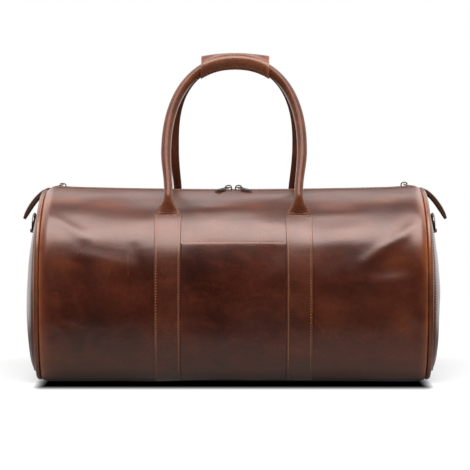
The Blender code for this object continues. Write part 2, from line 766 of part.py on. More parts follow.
def wrap_part(name, start, end, lapped, columns=8, rows=12):
    """Part of the wrap round from one angle to another, in degrees up from +Y."""
    rings = []
    for i in range(columns + 1):
        x = WRAP_LENGTH * (i / columns - 0.5)
        ring = []
        for k in range(rows + 1):
            degrees = start + (end - start) * k / rows
            step = min(1, max(0, (FLAP_STEP_START - degrees) / FLAP_STEP_TURN)) if lapped else 0
            ring.append(wrap_point(x, degrees, WRAP_LEATHER + step * (WRAP_LEATHER + LAP_ROOM)))
        rings.append(ring)
    bm = loft(rings, closed_ring=False)
    bm.normal_update()
    centre = Vector((0, 0, HANDLE_TOP_HEIGHT))
    facing = sum(f.normal.dot(Vector((0, *(f.calc_center_median() - centre)[1:]))) for f in bm.faces)
    if facing < 0:
        bmesh.ops.reverse_faces(bm, faces=bm.faces)
    return solidify(mesh_object(name, bm, TRIM_LEATHER), WRAP_LEATHER)


def wrap_hinge():
    return Vector((0, 0, HANDLE_TOP_HEIGHT + HANDLE_RADIUS + WRAP_RISE + WRAP_LEATHER))


def snap(side, name, hinge):
    """The cap of a snap on the outer face of the flap, under the handles."""
    x = side * SNAP_SPACING / 2
    face = 2 * WRAP_LEATHER + LAP_ROOM + GAP
    left, right = (wrap_point(x + end * SNAP_DIAMETER / 2, SNAP_TURN, face) for end in (-1, 1))
    here = (left + right) / 2
    slope = math.atan2(left.z - right.z, SNAP_DIAMETER)
    bm = bmesh.new()
    bmesh.ops.create_cone(
        bm,
        cap_ends=True,
        segments=16,
        radius1=SNAP_TAPER_SHARE * SNAP_DIAMETER / 2,
        radius2=SNAP_DIAMETER / 2,
        depth=SNAP_HEIGHT,
    )
    drop = SNAP_HEIGHT / 2 + GAP
    place = Matrix.Translation(here - Vector((0, 0, drop))) @ Matrix.Rotation(slope, 4, "Y")
    bm.transform(place)
    return hang(mesh_object(name, bm, ZIP_METAL), hinge)


def wrap(front_hinge):
    """The wrap's fixed front half, and its back half, which opens about its top edge."""
    fixed = wrap_part("handle_wrap", WRAP_TOP_TURN + WRAP_TOP_GAP_TURN, FIXED_END_TURN, False)
    hang(fixed, front_hinge)
    flap_hinge = empty("handle_wrap_flap_hinge", wrap_hinge())
    flap = wrap_part("handle_wrap_flap", WRAP_TOP_TURN - WRAP_TOP_GAP_TURN, FLAP_END_TURN, True)
    hang(flap, flap_hinge)
    for side_name, side in (("left", -1), ("right", 1)):
        snap(side, f"wrap_snap_{side_name}", flap_hinge)


# D-rings and their leather tabs
def ring_place(side):
    """The middle of a D-ring's straight bar, which it turns about."""
    stand = 2 * GAP + CHAPE_LEATHER + RING_WIRE / 2
    return Vector((side * (on_dome_middle(RING_BAR_HEIGHT) + stand), 0, RING_BAR_HEIGHT))


def d_ring(side, name):
    lean = -side * math.radians(RING_LEAN)
    hinge = empty(f"{name}_hinge", ring_place(side), Matrix.Rotation(lean, 3, "Y"))
    half = (RING_WIDTH - RING_WIRE) / 2
    top = RING_RISE - RING_WIRE
    corner = RING_WIRE / 2
    points = [Vector((0, -half + corner, 0)), Vector((0, half - corner, 0)), Vector((0, half, corner))]
    straight = top * RING_STRAIGHT_SHARE
    for i in range(RING_ARC_STEPS + 1):
        turn = math.pi * i / RING_ARC_STEPS
        points.append(Vector((0, half * math.cos(turn), straight + (top - straight) * math.sin(turn))))
    points.append(Vector((0, -half, corner)))
    return hang(tube(name, points, RING_WIRE, RING_METAL, cyclic=True), hinge, Matrix())


def chape(side, name):
    """The leather folded round the D-ring's bar and sewn to the end panel below it."""
    bar = ring_place(1)
    loop = RING_WIRE / 2 + GAP + CHAPE_LEATHER / 2
    heights = [RING_BAR_HEIGHT - CHAPE_DROP * (1 - i / CHAPE_STEPS) for i in range(CHAPE_STEPS)]
    path = [(on_dome_middle(z) + GAP + CHAPE_LEATHER / 2, z) for z in heights]
    first, last = CHAPE_LOOP_TURNS
    for i in range(CHAPE_LOOP_STEPS + 1):
        turn = math.radians(first + (last - first) * i / CHAPE_LOOP_STEPS)
        path.append((bar.x + loop * math.cos(turn), bar.z + loop * math.sin(turn)))
    outer = 2 * GAP + 3 * CHAPE_LEATHER / 2
    path += [(on_dome_middle(z) + outer, z) for z in reversed(heights)]
    half = CHAPE_WIDTH / 2
    rings = [[Vector((side * x, y, z)) for x, z in path] for y in (-half, half)]
    bm = loft(rings, closed_ring=False)
    item = mesh_object(name, bm, TRIM_LEATHER)
    shell_modifier = item.modifiers.new("thickness", "SOLIDIFY")
    shell_modifier.thickness = CHAPE_LEATHER
    shell_modifier.offset = 0
    shell_modifier.use_even_offset = True
    return item


# Inside
def inside():
    mouth = LINING_MOUTH / 2
    middle = (MAIN_ZIP_PLACE + GARMENT_ZIP_PLACE) / 2
    reach = HALF_LENGTH - ZIP_END_MARGIN
    places = (middle + mouth, middle - mouth + 2 * HALF_GIRTH)
    sheet("lining", (-reach, reach), places, -LINING_PLACE, LINING, (8, 24), LINING_CLOTH)
    low = (-BOARD_LENGTH / 2, -BOARD_WIDTH / 2, LEATHER + GAP)
    high = (BOARD_LENGTH / 2, BOARD_WIDTH / 2, LEATHER + GAP + BOARD_THICKNESS)
    box("base_board", low, high, BOARD_STOCK)


def build():
    shell()
    straps_and_pocket()
    inside()
    zip_line("main", MAIN_ZIP_PLACE)
    zip_line("garment", GARMENT_ZIP_PLACE)
    for side_name, side in (("left", -1), ("right", 1)):
        end_panel(side, f"end_panel_{side_name}")
        piping(side, f"end_piping_{side_name}")
        slider(f"main_slider_{side_name}", side * MAIN_SLIDER_OFFSET, MAIN_ZIP_PLACE)
        main_pull(side, f"main_pull_{side_name}")
        slider(f"end_slider_{side_name}", side * END_SLIDER_OFFSET, GARMENT_ZIP_PLACE)
        end_puller(side, f"end_puller_{side_name}")
        d_ring(side, f"d_ring_{side_name}")
        chape(side, f"d_ring_tab_{side_name}")
        for face, sign in (("front", -1), ("back", 1)):
            tab(sign, side, f"handle_tab_{face}_{side_name}")
    front = handle(-1, "front_handle")
    handle(1, "back_handle")
    wrap(front)


build()
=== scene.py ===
"""The looks of a leather garment duffle bag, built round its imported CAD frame.

Metres, +X along the barrel, -Y towards the front pocket, +Z up. Every sheet of leather is a grid bent
onto one soft barrel, so that straps, pocket and zips lie on the same folds.
"""

import math

import bpy
import numpy as np
from mathutils import Matrix, Vector, noise

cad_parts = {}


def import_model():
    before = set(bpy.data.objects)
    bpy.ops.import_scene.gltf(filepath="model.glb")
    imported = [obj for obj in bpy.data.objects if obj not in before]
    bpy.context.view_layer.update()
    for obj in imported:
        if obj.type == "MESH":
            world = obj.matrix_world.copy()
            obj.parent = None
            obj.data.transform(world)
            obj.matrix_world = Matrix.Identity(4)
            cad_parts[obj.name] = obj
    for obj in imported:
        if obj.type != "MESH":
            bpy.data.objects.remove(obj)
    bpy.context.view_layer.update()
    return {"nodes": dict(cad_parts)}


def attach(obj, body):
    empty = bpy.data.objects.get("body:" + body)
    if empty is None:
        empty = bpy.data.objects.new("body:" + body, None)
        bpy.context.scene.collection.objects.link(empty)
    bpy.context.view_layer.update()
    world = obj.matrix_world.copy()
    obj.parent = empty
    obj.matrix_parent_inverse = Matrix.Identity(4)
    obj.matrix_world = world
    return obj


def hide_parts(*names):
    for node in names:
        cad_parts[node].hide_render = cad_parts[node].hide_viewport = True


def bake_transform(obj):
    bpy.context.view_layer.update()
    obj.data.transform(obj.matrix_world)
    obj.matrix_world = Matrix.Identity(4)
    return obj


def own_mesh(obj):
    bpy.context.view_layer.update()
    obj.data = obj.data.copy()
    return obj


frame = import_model()

# Sizes that the CAD source has too
BODY_LENGTH = 0.500
BODY_DEPTH = 0.265
RIM_HEIGHT = 0.256
RIDGE_SAG = 0.004
WIDEST_HEIGHT = 0.118
BASE_FLAT_WIDTH = 0.150
SHOULDER_WIDTH = 0.012
SHOULDER_DROP = 0.0025
UPPER_FULLNESS = 2.2
LOWER_FULLNESS = 2.5
LEATHER = 0.0022
GAP = 0.0003
BASE_SEAM_HEIGHT = 0.006
PIPING = 0.0070
DOME_BULGE = 0.0215
DOME_ROUNDNESS = 2.6
DOME_EDGE_STEEPNESS = 0.5
DOME_TOP_FALL_SHARE = 0.5
TRIM = 0.0020
STRAP_WIDTH = 0.034
STRAP_SPACING = 0.170
STRAP_TOP_HEIGHT = 0.2185
POCKET_TOP_HEIGHT = 0.183
MAIN_ZIP_PLACE = -0.016
GARMENT_ZIP_PLACE = 0.020
ZIP_OPENING = 0.011
TAPE_REACH = 0.014
TAPE = 0.0008
CHAIN_WIDTH = 0.0062
CHAIN_HEIGHT = 0.0026
ZIP_END_MARGIN = 0.006
SLIDER_LENGTH = 0.0095
SLIDER_PLATE = 0.0018
SLIDER_WALL = 0.0012
BAIL_SPAN = 0.0072
BAIL_WIRE = 0.0012
BAIL_RISE = 0.0052
BAIL_WIDTH = 0.0012
HINGE_RISE = 0.0029
MAIN_SLIDER_OFFSET = 0.0068
END_SLIDER_OFFSET = 0.234
LINK_LENGTH = 0.0185
LINK_BAR = 0.0014
LINK_WIDTH = 0.0138
PULLER_WIDTH = 0.0100
PULLER_THICKNESS = 0.0056
PULLER_EYE_WALL = 0.0014
PULLER_REACH = 0.0355
PULLER_BEND_SHARES = (0.55, 0.20)
PULLER_TAPER_SHARE = 0.45
HANDLE_DIAMETER = 0.0130
NECK_SPACING = 0.171
HANDLE_SPREAD = 0.1806
NECK_HEIGHT = 0.245
SPREAD_HEIGHT = 0.3045
HANDLE_TOP_HEIGHT = 0.4258
NECK_DEPTH = 0.083
HANDLE_TOP_DEPTH = 0.0073
LEAN_CURVE = 1.3
ARCH_FULLNESS = 2.25
TAB_ROUNDNESS = (6.0, 2.0)
WRAP_LENGTH = 0.092
WRAP_LEATHER = 0.0018
WRAP_CROWN = 0.0040
WRAP_RISE = 0.0020
WRAP_ROOM = 0.0030
SNAP_DIAMETER = 0.010
SNAP_SPACING = 0.056
RING_WIRE = 0.0040
RING_WIDTH = 0.034
RING_RISE = 0.026
RING_BAR_HEIGHT = 0.196
RING_LEAN = 2.0
RING_STRAIGHT_SHARE = 0.25
CHAPE_WIDTH = 0.024
CHAPE_LEATHER = 0.0018
CHAPE_LOOP_TURNS = (190.0, -30.0)
LINING = 0.0010
LINING_MOUTH = 0.036
BOARD_THICKNESS = 0.0025

HALF_LENGTH = BODY_LENGTH / 2
HALF_DEPTH = BODY_DEPTH / 2
HALF_FLAT = BASE_FLAT_WIDTH / 2
CROWN = RIM_HEIGHT - RIDGE_SAG - WIDEST_HEIGHT
HANDLE_RADIUS = HANDLE_DIAMETER / 2
CHAIN_TOP = -(LEATHER + 2 * GAP + TAPE / 2 - CHAIN_HEIGHT / 2)
PLATE_TOP = CHAIN_TOP + GAP + SLIDER_PLATE
EDGE_X = HALF_LENGTH + GAP + PIPING / 2
LINING_PLACE = LEATHER + BOARD_THICKNESS + 2 * GAP
SIDES = (("left", -1), ("right", 1))
FACES = (("front", -1), ("back", 1))

# Sizes of the visual pieces alone, to match the photograph
TAB_BASE_WIDTH = 0.0325
TAB_SWELL_CURVE = 1.7
CHAPE_DROP = 0.034
BAIL_SWELL = 1.20
HIDDEN_BAIL_SWELL = 0.95
BAIL_STRETCH = 1.45
LINK_HANG = {-1: 19.0, 1: 16.0}
LINK_TALL = 0.0018
RIGHT_LINK_EXTRA = 0.0040
PULLER_HANG = 0.041
PULLER_PLUMP = 1.2

# Photograph and camera
PHOTO_SIZE = 470
FOCAL_PIXELS = 1618.0
CAMERA_DISTANCE = 2.2
CAMERA_HEIGHT = 0.27
CAMERA_PITCH = 2.09
CAMERA_ASIDE = 0.002
SENSOR = 36.0

BODY = "bag_body"


# Meshes
TUBE_SHARP = 50.0


def new_object(name, verts, faces, material, smooth=True, sharp=40.0):
    mesh = bpy.data.meshes.new(name)
    mesh.from_pydata([tuple(v) for v in verts], [], [tuple(int(i) for i in f) for f in faces])
    mesh.validate()
    mesh.materials.append(material)
    item = bpy.data.objects.new(name, mesh)
    bpy.context.scene.collection.objects.link(item)
    if smooth:
        mesh.shade_smooth()
        mesh.set_sharp_from_angle(angle=math.radians(sharp))
    return item


def grid_faces(rows, columns, wrap_rows=False, wrap_columns=False, first=0):
    """Quads between the points of a grid that is stored row by row."""
    faces = []
    for i in range(rows if wrap_rows else rows - 1):
        for j in range(columns if wrap_columns else columns - 1):
            a, b = i, (i + 1) % rows
            c, d = j, (j + 1) % columns
            corners = ((a, c), (a, d), (b, d), (b, c))
            faces.append(tuple(first + row * columns + column for row, column in corners))
    return faces


def grid_object(name, points, material):
    faces = grid_faces(*points.shape[:2])
    return new_object(name, points.reshape(-1, 3), faces, material)


def loft_object(name, rings, material, sharp=TUBE_SHARP):
    """A closed tube through rings of points, each ring a closed section."""
    points = np.array(rings, float)
    rows, columns = points.shape[:2]
    faces = grid_faces(rows, columns, wrap_columns=True)
    faces.append(tuple(range(columns))[::-1])
    faces.append(tuple(range((rows - 1) * columns, rows * columns)))
    return face_outward(new_object(name, points.reshape(-1, 3), faces, material, sharp=sharp))


def loop_object(name, rings, material):
    """A tube through rings of points that closes on itself."""
    points = np.array(rings)
    faces = grid_faces(*points.shape[:2], wrap_rows=True, wrap_columns=True)
    return face_outward(new_object(name, points.reshape(-1, 3), faces, material))


def face_outward(item):
    """Turns a closed mesh's faces outward, by the sign of its volume."""
    mesh = item.data
    co = np.array([v.co for v in mesh.vertices])
    volume = 0.0
    for polygon in mesh.polygons:
        corners = co[list(polygon.vertices)]
        for k in range(1, len(corners) - 1):
            volume += np.dot(corners[0], np.cross(corners[k], corners[k + 1]))
    if volume < 0:
        mesh.flip_normals()
    return item


def attribute(item, name, values):
    layer = item.data.attributes.new(name, "FLOAT", "POINT")
    layer.data.foreach_set("value", np.asarray(values, np.float32).ravel())
    return item


def thicken(item, thickness, offset=-1.0):
    shell = item.modifiers.new("thickness", "SOLIDIFY")
    shell.thickness = thickness
    shell.offset = offset
    shell.use_even_offset = True
    return item


def bevel(item, width):
    edge = item.modifiers.new("edges", "BEVEL")
    edge.width = width
    edge.segments = 2
    edge.limit_method = "ANGLE"
    edge.angle_limit = math.radians(35.0)
    edge.harden_normals = False
    return item


def place(item, body, slot, *nodes):
    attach(item, body)
    if nodes:
        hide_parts(*nodes)
    return item


# Numbers
def unit(rows):
    """Each row of three at a length of 1."""
    return rows / np.linalg.norm(rows, axis=-1)[..., None]


def bell(value, width):
    """1 at 0, falling away on both sides to 0.37 at this width."""
    return np.exp(-((value / width) ** 2))


def round_turns(sides):
    return 2 * math.pi * np.arange(sides) / sides


def run_along(points):
    """How far along a line each of its points is."""
    return np.concatenate([[0], np.cumsum(np.linalg.norm(np.diff(points, axis=0), axis=1))])


def along_line(points, run, at):
    """The points of a line at these distances along it, where `run` is how far along its own points are."""
    points = np.asarray(points, float)
    return np.stack([np.interp(at, run, column) for column in points.T], -1)


def smooth_noise(points, scale, seed=0.0):
    """Noise from -1 to 1 at points, whose lumps are about `scale` metres apart."""
    shift = Vector((seed * 17.31, seed * 5.77, seed * 9.13))
    flat = np.asarray(points, float).reshape(-1, 3)
    found = [noise.noise(Vector(p) / scale + shift) for p in flat]
    return np.array(found).reshape(np.asarray(points).shape[:-1])


# Barrel
def half_section(steps=400):
    """The barrel's outline from the middle of the top to the middle of the base, on the +Y side."""
    turn = np.linspace(0, math.pi / 2, steps)
    across = np.clip(np.sin(turn), 0, 1)
    down = np.clip(np.cos(turn), 0, 1)
    upper_y = HALF_DEPTH * across ** (2 / UPPER_FULLNESS)
    upper_z = WIDEST_HEIGHT + CROWN * down ** (2 / UPPER_FULLNESS)
    lower_y = HALF_FLAT + (HALF_DEPTH - HALF_FLAT) * down ** (2 / LOWER_FULLNESS)
    lower_z = WIDEST_HEIGHT * (1 - across ** (2 / LOWER_FULLNESS))
    y = np.concatenate([upper_y, lower_y[1:], [0]])
    z = np.concatenate([upper_z, lower_z[1:], [0]])
    girth = np.concatenate([[0], np.cumsum(np.hypot(np.diff(y), np.diff(z)))])
    slope_y = np.gradient(y, girth)
    slope_z = np.gradient(z, girth)
    length = np.hypot(slope_y, slope_z)
    return girth, y, z, -slope_z / length, slope_y / length


GIRTH, *OUTLINE = half_section()
OUTLINE_Y, OUTLINE_Z = OUTLINE[:2]
HALF_GIRTH = GIRTH[-1]


def place_at_height(height):
    """The distance round the barrel at which its front or back reaches this height."""
    widest = int(np.argmax(OUTLINE_Y))
    part = slice(widest, None) if height < WIDEST_HEIGHT else slice(0, widest)
    return float(np.interp(-height, -OUTLINE_Z[part], GIRTH[part]))


def wrapped(at):
    """Places round the barrel, where those beyond the middle of its base count from the other side."""
    return np.where(np.abs(at) > HALF_GIRTH, at - np.copysign(2 * HALF_GIRTH, at), at)


def smoothstep(low, high, value):
    """0 at `low` to 1 at `high`, which may be the smaller of the two."""
    t = np.clip((np.asarray(value, float) - low) / (high - low), 0, 1)
    return t * t * (3 - 2 * t)


# Dents and swells of the stuffed leather: X, height, their reach along X and round the barrel, depth
FRONT_SWELLS = (
    (0.205, 0.150, 0.026, 0.018, -0.0030),
    (0.130, 0.185, 0.040, 0.020, 0.0020),
    (-0.205, 0.205, 0.040, 0.018, -0.0016),
    (-0.225, 0.075, 0.020, 0.035, -0.0018),
    (-0.150, 0.190, 0.050, 0.022, 0.0014),
    (0.140, 0.060, 0.070, 0.035, 0.0016),
    (-0.150, 0.070, 0.060, 0.040, 0.0014),
    (0.130, 0.222, 0.040, 0.012, 0.0012),
    (-0.030, 0.225, 0.070, 0.010, 0.0008),
)
# Soft folds of the front: X and height at both ends, half width, height
FRONT_FOLDS = (
    (0.168, 0.158, 0.232, 0.200, 0.0085, 0.0019),
    (0.178, 0.132, 0.226, 0.140, 0.0080, 0.0012),
    (-0.243, 0.090, -0.215, 0.066, 0.0060, 0.0012),
    (-0.236, 0.120, -0.205, 0.098, 0.0070, -0.0010),
    (-0.236, 0.214, -0.190, 0.190, 0.0080, 0.0012),
    (-0.200, 0.168, -0.130, 0.152, 0.0090, 0.0010),
    (-0.128, 0.178, -0.112, 0.120, 0.0070, -0.0009),
    (0.118, 0.140, 0.150, 0.098, 0.0080, 0.0009),
    (0.196, 0.110, 0.236, 0.070, 0.0090, -0.0010),
    (0.215, 0.060, 0.238, 0.100, 0.0060, 0.0010),
    (-0.060, 0.060, 0.050, 0.052, 0.0140, 0.0008),
    (-0.060, 0.150, -0.020, 0.090, 0.0120, -0.0006),
    (0.010, 0.110, 0.060, 0.150, 0.0120, 0.0006),
)

# Lumps all round: stretch along X, layer of the noise, distance between lumps, height
LUMPS = ((1.0, 0.31, 0.115, 0.0034), (1.0, 0.31, 0.048, 0.0012), (0.45, 1.7, 0.050, 0.0018))
# How far from the zips, the rims and the base the leather becomes soft
CALM_AT_ZIPS = (0.030, 0.062)
CALM_AT_RIMS = 0.030
CALM_AT_BASE = 0.040


def softness(x, girth, side):
    """How far the stuffed leather stands from the plain barrel, which it keeps to at its seams."""
    lumps = 0.0
    for seed, (stretch, layer, scale, tall) in enumerate(LUMPS, 1):
        points = np.stack([x * stretch, girth * side, np.full_like(x, layer)], -1)
        lumps = lumps + tall * smooth_noise(points, scale, float(seed))
    for x0, z0, x1, z1, half, rise in FRONT_FOLDS:
        g0, g1 = place_at_height(z0), place_at_height(z1)
        run = math.hypot(x1 - x0, g1 - g0)
        along = ((x - x0) * (x1 - x0) + (girth - g0) * (g1 - g0)) / run
        aside = ((x - x0) * (g1 - g0) - (girth - g0) * (x1 - x0)) / run
        beyond = np.maximum(0, np.maximum(-along, along - run)) / half
        tall = rise * np.exp(-((aside / half) ** 2) - beyond**2)
        tall = tall * (0.7 + 0.3 * np.sin(math.pi * along / run))
        lumps = lumps + np.where(side < 0, tall, 0)
    for at, height, reach, spread, depth in FRONT_SWELLS:
        near = ((x - at) / reach) ** 2 + ((girth - place_at_height(height)) / spread) ** 2
        lumps = lumps + np.where(side < 0, depth * np.exp(-near), 0)
    from_zips = smoothstep(*CALM_AT_ZIPS, girth)
    from_rims = smoothstep(0.0, CALM_AT_RIMS, HALF_LENGTH - np.abs(x))
    from_base = smoothstep(0.0, CALM_AT_BASE, HALF_GIRTH - girth - HALF_FLAT)
    return lumps * from_zips * from_rims * from_base


# X, and how far the ridge of the soft top stands from its even sag
RIDGE_SHIFTS = (
    (-0.250, -0.2468, -0.240, -0.225, -0.210, 0.210, 0.226, 0.243, 0.248, 0.250),
    (-0.0022, -0.0004, 0.0010, 0.0003, 0.0, 0.0, 0.0005, 0.0018, 0.0016, 0.0010),
)


def barrel(x, at, out=0.0, soft=True):
    """Points `out` above the leather, at a distance `at` round the barrel from the middle of the top."""
    x, at, out = np.broadcast_arrays(*(np.asarray(given, float) for given in (x, at, out)))
    at = wrapped(at)
    side = np.where(at < 0, -1.0, 1.0)
    girth = np.abs(at)
    y, z, across, up = (np.interp(girth, GIRTH, row) for row in OUTLINE)
    high = np.maximum(0, (z - WIDEST_HEIGHT) / CROWN)
    rise = high * RIDGE_SAG * np.minimum(1, (x / HALF_LENGTH) ** 2)
    over = np.clip((np.abs(x) - HALF_LENGTH + SHOULDER_WIDTH) / SHOULDER_WIDTH, 0, 1)
    out = out - SHOULDER_DROP * over * over
    rise = rise + high * high * np.interp(x, *RIDGE_SHIFTS)
    if soft:
        out = out + softness(x, girth, side)
    return np.stack([x, side * (y + across * out), z + rise + up * out], -1)


# Materials
class Nodes:
    """A node tree, built one node at a time."""

    def __init__(self, tree, spot):
        self.tree = tree
        self.spot = self.add("ShaderNodeTexCoord").outputs[spot]

    def add(self, kind, settings=None, **inputs):
        made = self.tree.nodes.new(kind)
        for key, value in (settings or {}).items():
            setattr(made, key, value)
        for key, value in inputs.items():
            self.give(made.inputs[key.replace("_", " ")], value)
        return made

    def give(self, socket, value):
        if isinstance(value, bpy.types.NodeSocket):
            self.tree.links.new(value, socket)
        else:
            socket.default_value = value

    def join(self, kind, *given):
        """A node that takes these on its sockets in order."""
        made = self.add(kind)
        for socket, value in zip(made.inputs, given):
            self.give(socket, value)
        return made.outputs[0]

    def math(self, operation, a, b=0.0, clamp=False):
        made = self.add("ShaderNodeMath", {"operation": operation, "use_clamp": clamp})
        self.give(made.inputs[0], a)
        self.give(made.inputs[1], b)
        return made.outputs[0]

    def times(self, a, b):
        return self.math("MULTIPLY", a, b)

    def plus(self, a, b):
        return self.math("ADD", a, b)

    def vector(self, operation, a, b=None, output=0):
        made = self.add("ShaderNodeVectorMath", {"operation": operation})
        self.give(made.inputs[0], a)
        if b is not None:
            self.give(made.inputs["Scale" if operation == "SCALE" else 1], b)
        return made.outputs[output]

    def noise(self, scale, detail=3.0, roughness=0.55, distortion=0.0, stretch=None):
        spot = self.spot if stretch is None else self.vector("MULTIPLY", self.spot, stretch)
        settings = {"Scale": scale, "Detail": detail, "Roughness": roughness, "Distortion": distortion}
        return self.add("ShaderNodeTexNoise", Vector=spot, **settings).outputs["Fac"]

    def range(self, value, low, high, to_low=0.0, to_high=1.0, smooth=False):
        kind = "SMOOTHSTEP" if smooth else "LINEAR"
        made = self.add("ShaderNodeMapRange", {"clamp": True, "interpolation_type": kind})
        sockets = ("Value", "From Min", "From Max", "To Min", "To Max")
        for socket, given in zip(sockets, (value, low, high, to_low, to_high)):
            self.give(made.inputs[socket], given)
        return made.outputs["Result"]

    def mix(self, factor, a, b):
        made = self.add("ShaderNodeMix", {"data_type": "RGBA"})
        self.give(made.inputs["Factor"], factor)
        colours = [s for s in made.inputs if s.type == "RGBA"]
        for socket, colour in zip(colours, (a, b)):
            self.give(socket, colour if isinstance(colour, bpy.types.NodeSocket) else (*colour, 1.0))
        return next(s for s in made.outputs if s.type == "RGBA")

    def axis(self, name):
        return self.add("ShaderNodeSeparateXYZ", Vector=self.spot).outputs[name]

    def attribute(self, name):
        return self.add("ShaderNodeAttribute", {"attribute_name": name}).outputs["Fac"]

    def bump(self, height, distance, strength=1.0, normal=None):
        made = self.add("ShaderNodeBump", Height=height, Distance=distance, Strength=strength)
        if normal is not None:
            self.give(made.inputs["Normal"], normal)
        return made.outputs["Normal"]

    def scratch(self, start, end, width):
        """1 along the line between two points, fading to 0 at `width` from it."""
        start, end = Vector(start), Vector(end)
        run = end - start
        from_start = self.vector("SUBTRACT", self.spot, tuple(start))
        along = self.vector("DOT_PRODUCT", from_start, tuple(run), 1)
        along = self.math("MULTIPLY", along, 1 / run.length_squared, clamp=True)
        nearest = self.vector("SCALE", tuple(run), along)
        distance = self.vector("DISTANCE", from_start, nearest, 1)
        return self.range(distance, 0.0, width, 1.0, 0.0)


class Look(Nodes):
    """A material, whose colours and finish go onto its one shader."""

    def __init__(self, name):
        self.material = bpy.data.materials.new(name)
        self.material.use_nodes = True
        super().__init__(self.material.node_tree, "Object")
        self.shader = self.tree.nodes["Principled BSDF"]

    def set(self, **inputs):
        for key, value in inputs.items():
            self.give(self.shader.inputs[key.replace("_", " ")], value)


def front_spot(px, py):
    """The point of the front's leather that shows at this pixel of the photograph."""
    depth = CAMERA_DISTANCE - HALF_DEPTH
    step = depth / FOCAL_PIXELS
    x = CAMERA_ASIDE + (px - PHOTO_SIZE / 2) * step
    pitch = math.tan(math.radians(CAMERA_PITCH))
    z = CAMERA_HEIGHT - depth * pitch - (py - PHOTO_SIZE / 2) * step
    return Vector(barrel(x, -place_at_height(z)))


SHEEN_TINT = (1.0, 0.73, 0.65)
STREAKED = 0.62
PORED = 0.34
SCRATCHED = 0.55
CREASE_DEPTH = 0.00045
GRAIN_DEPTH = 0.00010


def leather(
    name, deep, mid, warm, mottle=7.0, grain=1.0, rough=(0.26, 0.36), specular=0.80, coat=0.12, scratches=()
):
    """Leather from its darkest colour to a middle one in patches, and warm where it is worn or scratched; on
    the hull the same warm mix also paints light.
    """
    look = Look(f"{name}_look")
    patches = look.noise(mottle, 5.0, 0.6, 0.35)
    colour = look.mix(look.range(patches, 0.34, 0.68), deep, mid)
    streaks = look.noise(34.0, 4.0, 0.62, 0.6, stretch=(0.55, 1.0, 1.0))
    colour = look.mix(look.range(streaks, 0.44, 0.74, 0.0, STREAKED), colour, tuple(c * 1.7 for c in mid))
    pores = look.noise(300.0, 2.0, 0.5)
    colour = look.mix(look.range(pores, 0.40, 0.66, 0.0, PORED), colour, tuple(c * 0.6 for c in deep))
    patchy = look.range(look.noise(26.0, 5.0, 0.65, 0.4), 0.30, 0.66, 0.45, 1.15)
    # The 'wear' attribute sets the warm mix: real wear, and on the hull also painted highlight, overhead
    # light and floor bounce
    wear = look.math("MULTIPLY", look.attribute("wear"), patchy, clamp=True)
    colour = look.mix(wear, colour, warm)
    for start, end, width in scratches:
        broken = look.range(look.noise(240.0, 2.0), 0.35, 0.62)
        line = look.times(look.scratch(start, end, width), broken)
        colour = look.mix(look.times(line, SCRATCHED), colour, warm)
    roughness = look.range(look.noise(18.0, 4.0, 0.6), 0.30, 0.70, *rough)
    creases = look.noise(70.0, 3.0, 0.55, 0.3, stretch=(0.28, 1.0, 1.0))
    normal = look.bump(creases, CREASE_DEPTH * grain, 0.40)
    normal = look.bump(look.noise(260.0, 2.0, 0.5), GRAIN_DEPTH * grain, 0.30, normal)
    look.set(Base_Color=colour, Roughness=roughness, Normal=normal, Specular_IOR_Level=specular)
    look.set(Coat_Weight=coat, Coat_Roughness=0.24, Coat_IOR=1.45, Specular_Tint=(*SHEEN_TINT, 1.0))
    return look.material


def metal(name, dark, light):
    look = Look(f"{name}_look")
    patches = look.noise(160.0, 5.0, 0.6)
    colour = look.mix(look.range(patches, 0.35, 0.68), dark, light)
    look.set(Base_Color=colour, Metallic=1.0)
    look.set(Roughness=look.range(look.noise(420.0, 4.0, 0.6), 0.3, 0.7, 0.22, 0.40))
    look.set(Normal=look.bump(look.noise(900.0, 3.0), 0.00004, 0.35))
    return look.material


def woven(name, dark, light, pitch=0.0007):
    look = Look(f"{name}_look")
    bands = []
    for way in "XY":
        settings = {"Scale": 1 / pitch / 6.283, "Distortion": 0.4}
        bands.append(look.add("ShaderNodeTexWave", {"bands_direction": way}, Vector=look.spot, **settings))
    weave = look.times(*(band.outputs["Fac"] for band in bands))
    look.set(Base_Color=look.mix(weave, dark, light), Normal=look.bump(weave, 0.0002, 0.7), Roughness=0.85)
    look.set(Sheen_Weight=0.2, Sheen_Roughness=0.5)
    return look.material


def thread(name, dark, light):
    look = Look(f"{name}_look")
    twist = look.noise(1400.0, 2.0, 0.5)
    patches = look.range(look.noise(60.0, 3.0), 0.35, 0.65)
    colour = look.mix(patches, dark, light)
    look.set(Base_Color=colour, Roughness=0.62, Normal=look.bump(twist, 0.0001, 0.5))
    return look.material


def foam(name, colour):
    look = Look(f"{name}_look")
    cells = look.noise(700.0, 3.0, 0.6)
    look.set(Base_Color=look.mix(cells, tuple(c * 0.85 for c in colour), colour), Roughness=0.95)
    look.set(Normal=look.bump(cells, 0.0002, 0.6))
    return look.material


# Scratches of the front: the pixels of the photograph at both ends, and the half width
SCRATCHES = [
    (front_spot(*a), front_spot(*b), width)
    for a, b, width in (
        ((315.5, 320.0), (325.0, 334.0), 0.0011),
        ((218.0, 318.0), (219.5, 337.0), 0.0013),
        ((127.5, 256.0), (128.0, 276.0), 0.0018),
        ((97.0, 266.0), (106.0, 264.0), 0.0008),
        ((110.0, 269.0), (107.0, 278.0), 0.0008),
        ((55.0, 293.0), (58.0, 297.0), 0.0008),
        ((68.0, 322.0), (84.0, 329.0), 0.0007),
        ((398.0, 336.0), (404.0, 329.0), 0.0009),
        ((372.0, 375.0), (382.0, 378.0), 0.0008),
        ((243.0, 262.0), (243.5, 280.0), 0.0009),
        ((262.0, 292.0), (264.0, 303.0), 0.0008),
        ((334.0, 332.0), (342.0, 344.0), 0.0008),
    )
]
HULL = leather(
    "hull_leather", (0.027, 0.0042, 0.0022), (0.076, 0.0140, 0.0055), (0.270, 0.074, 0.025),
    scratches=SCRATCHES,
)
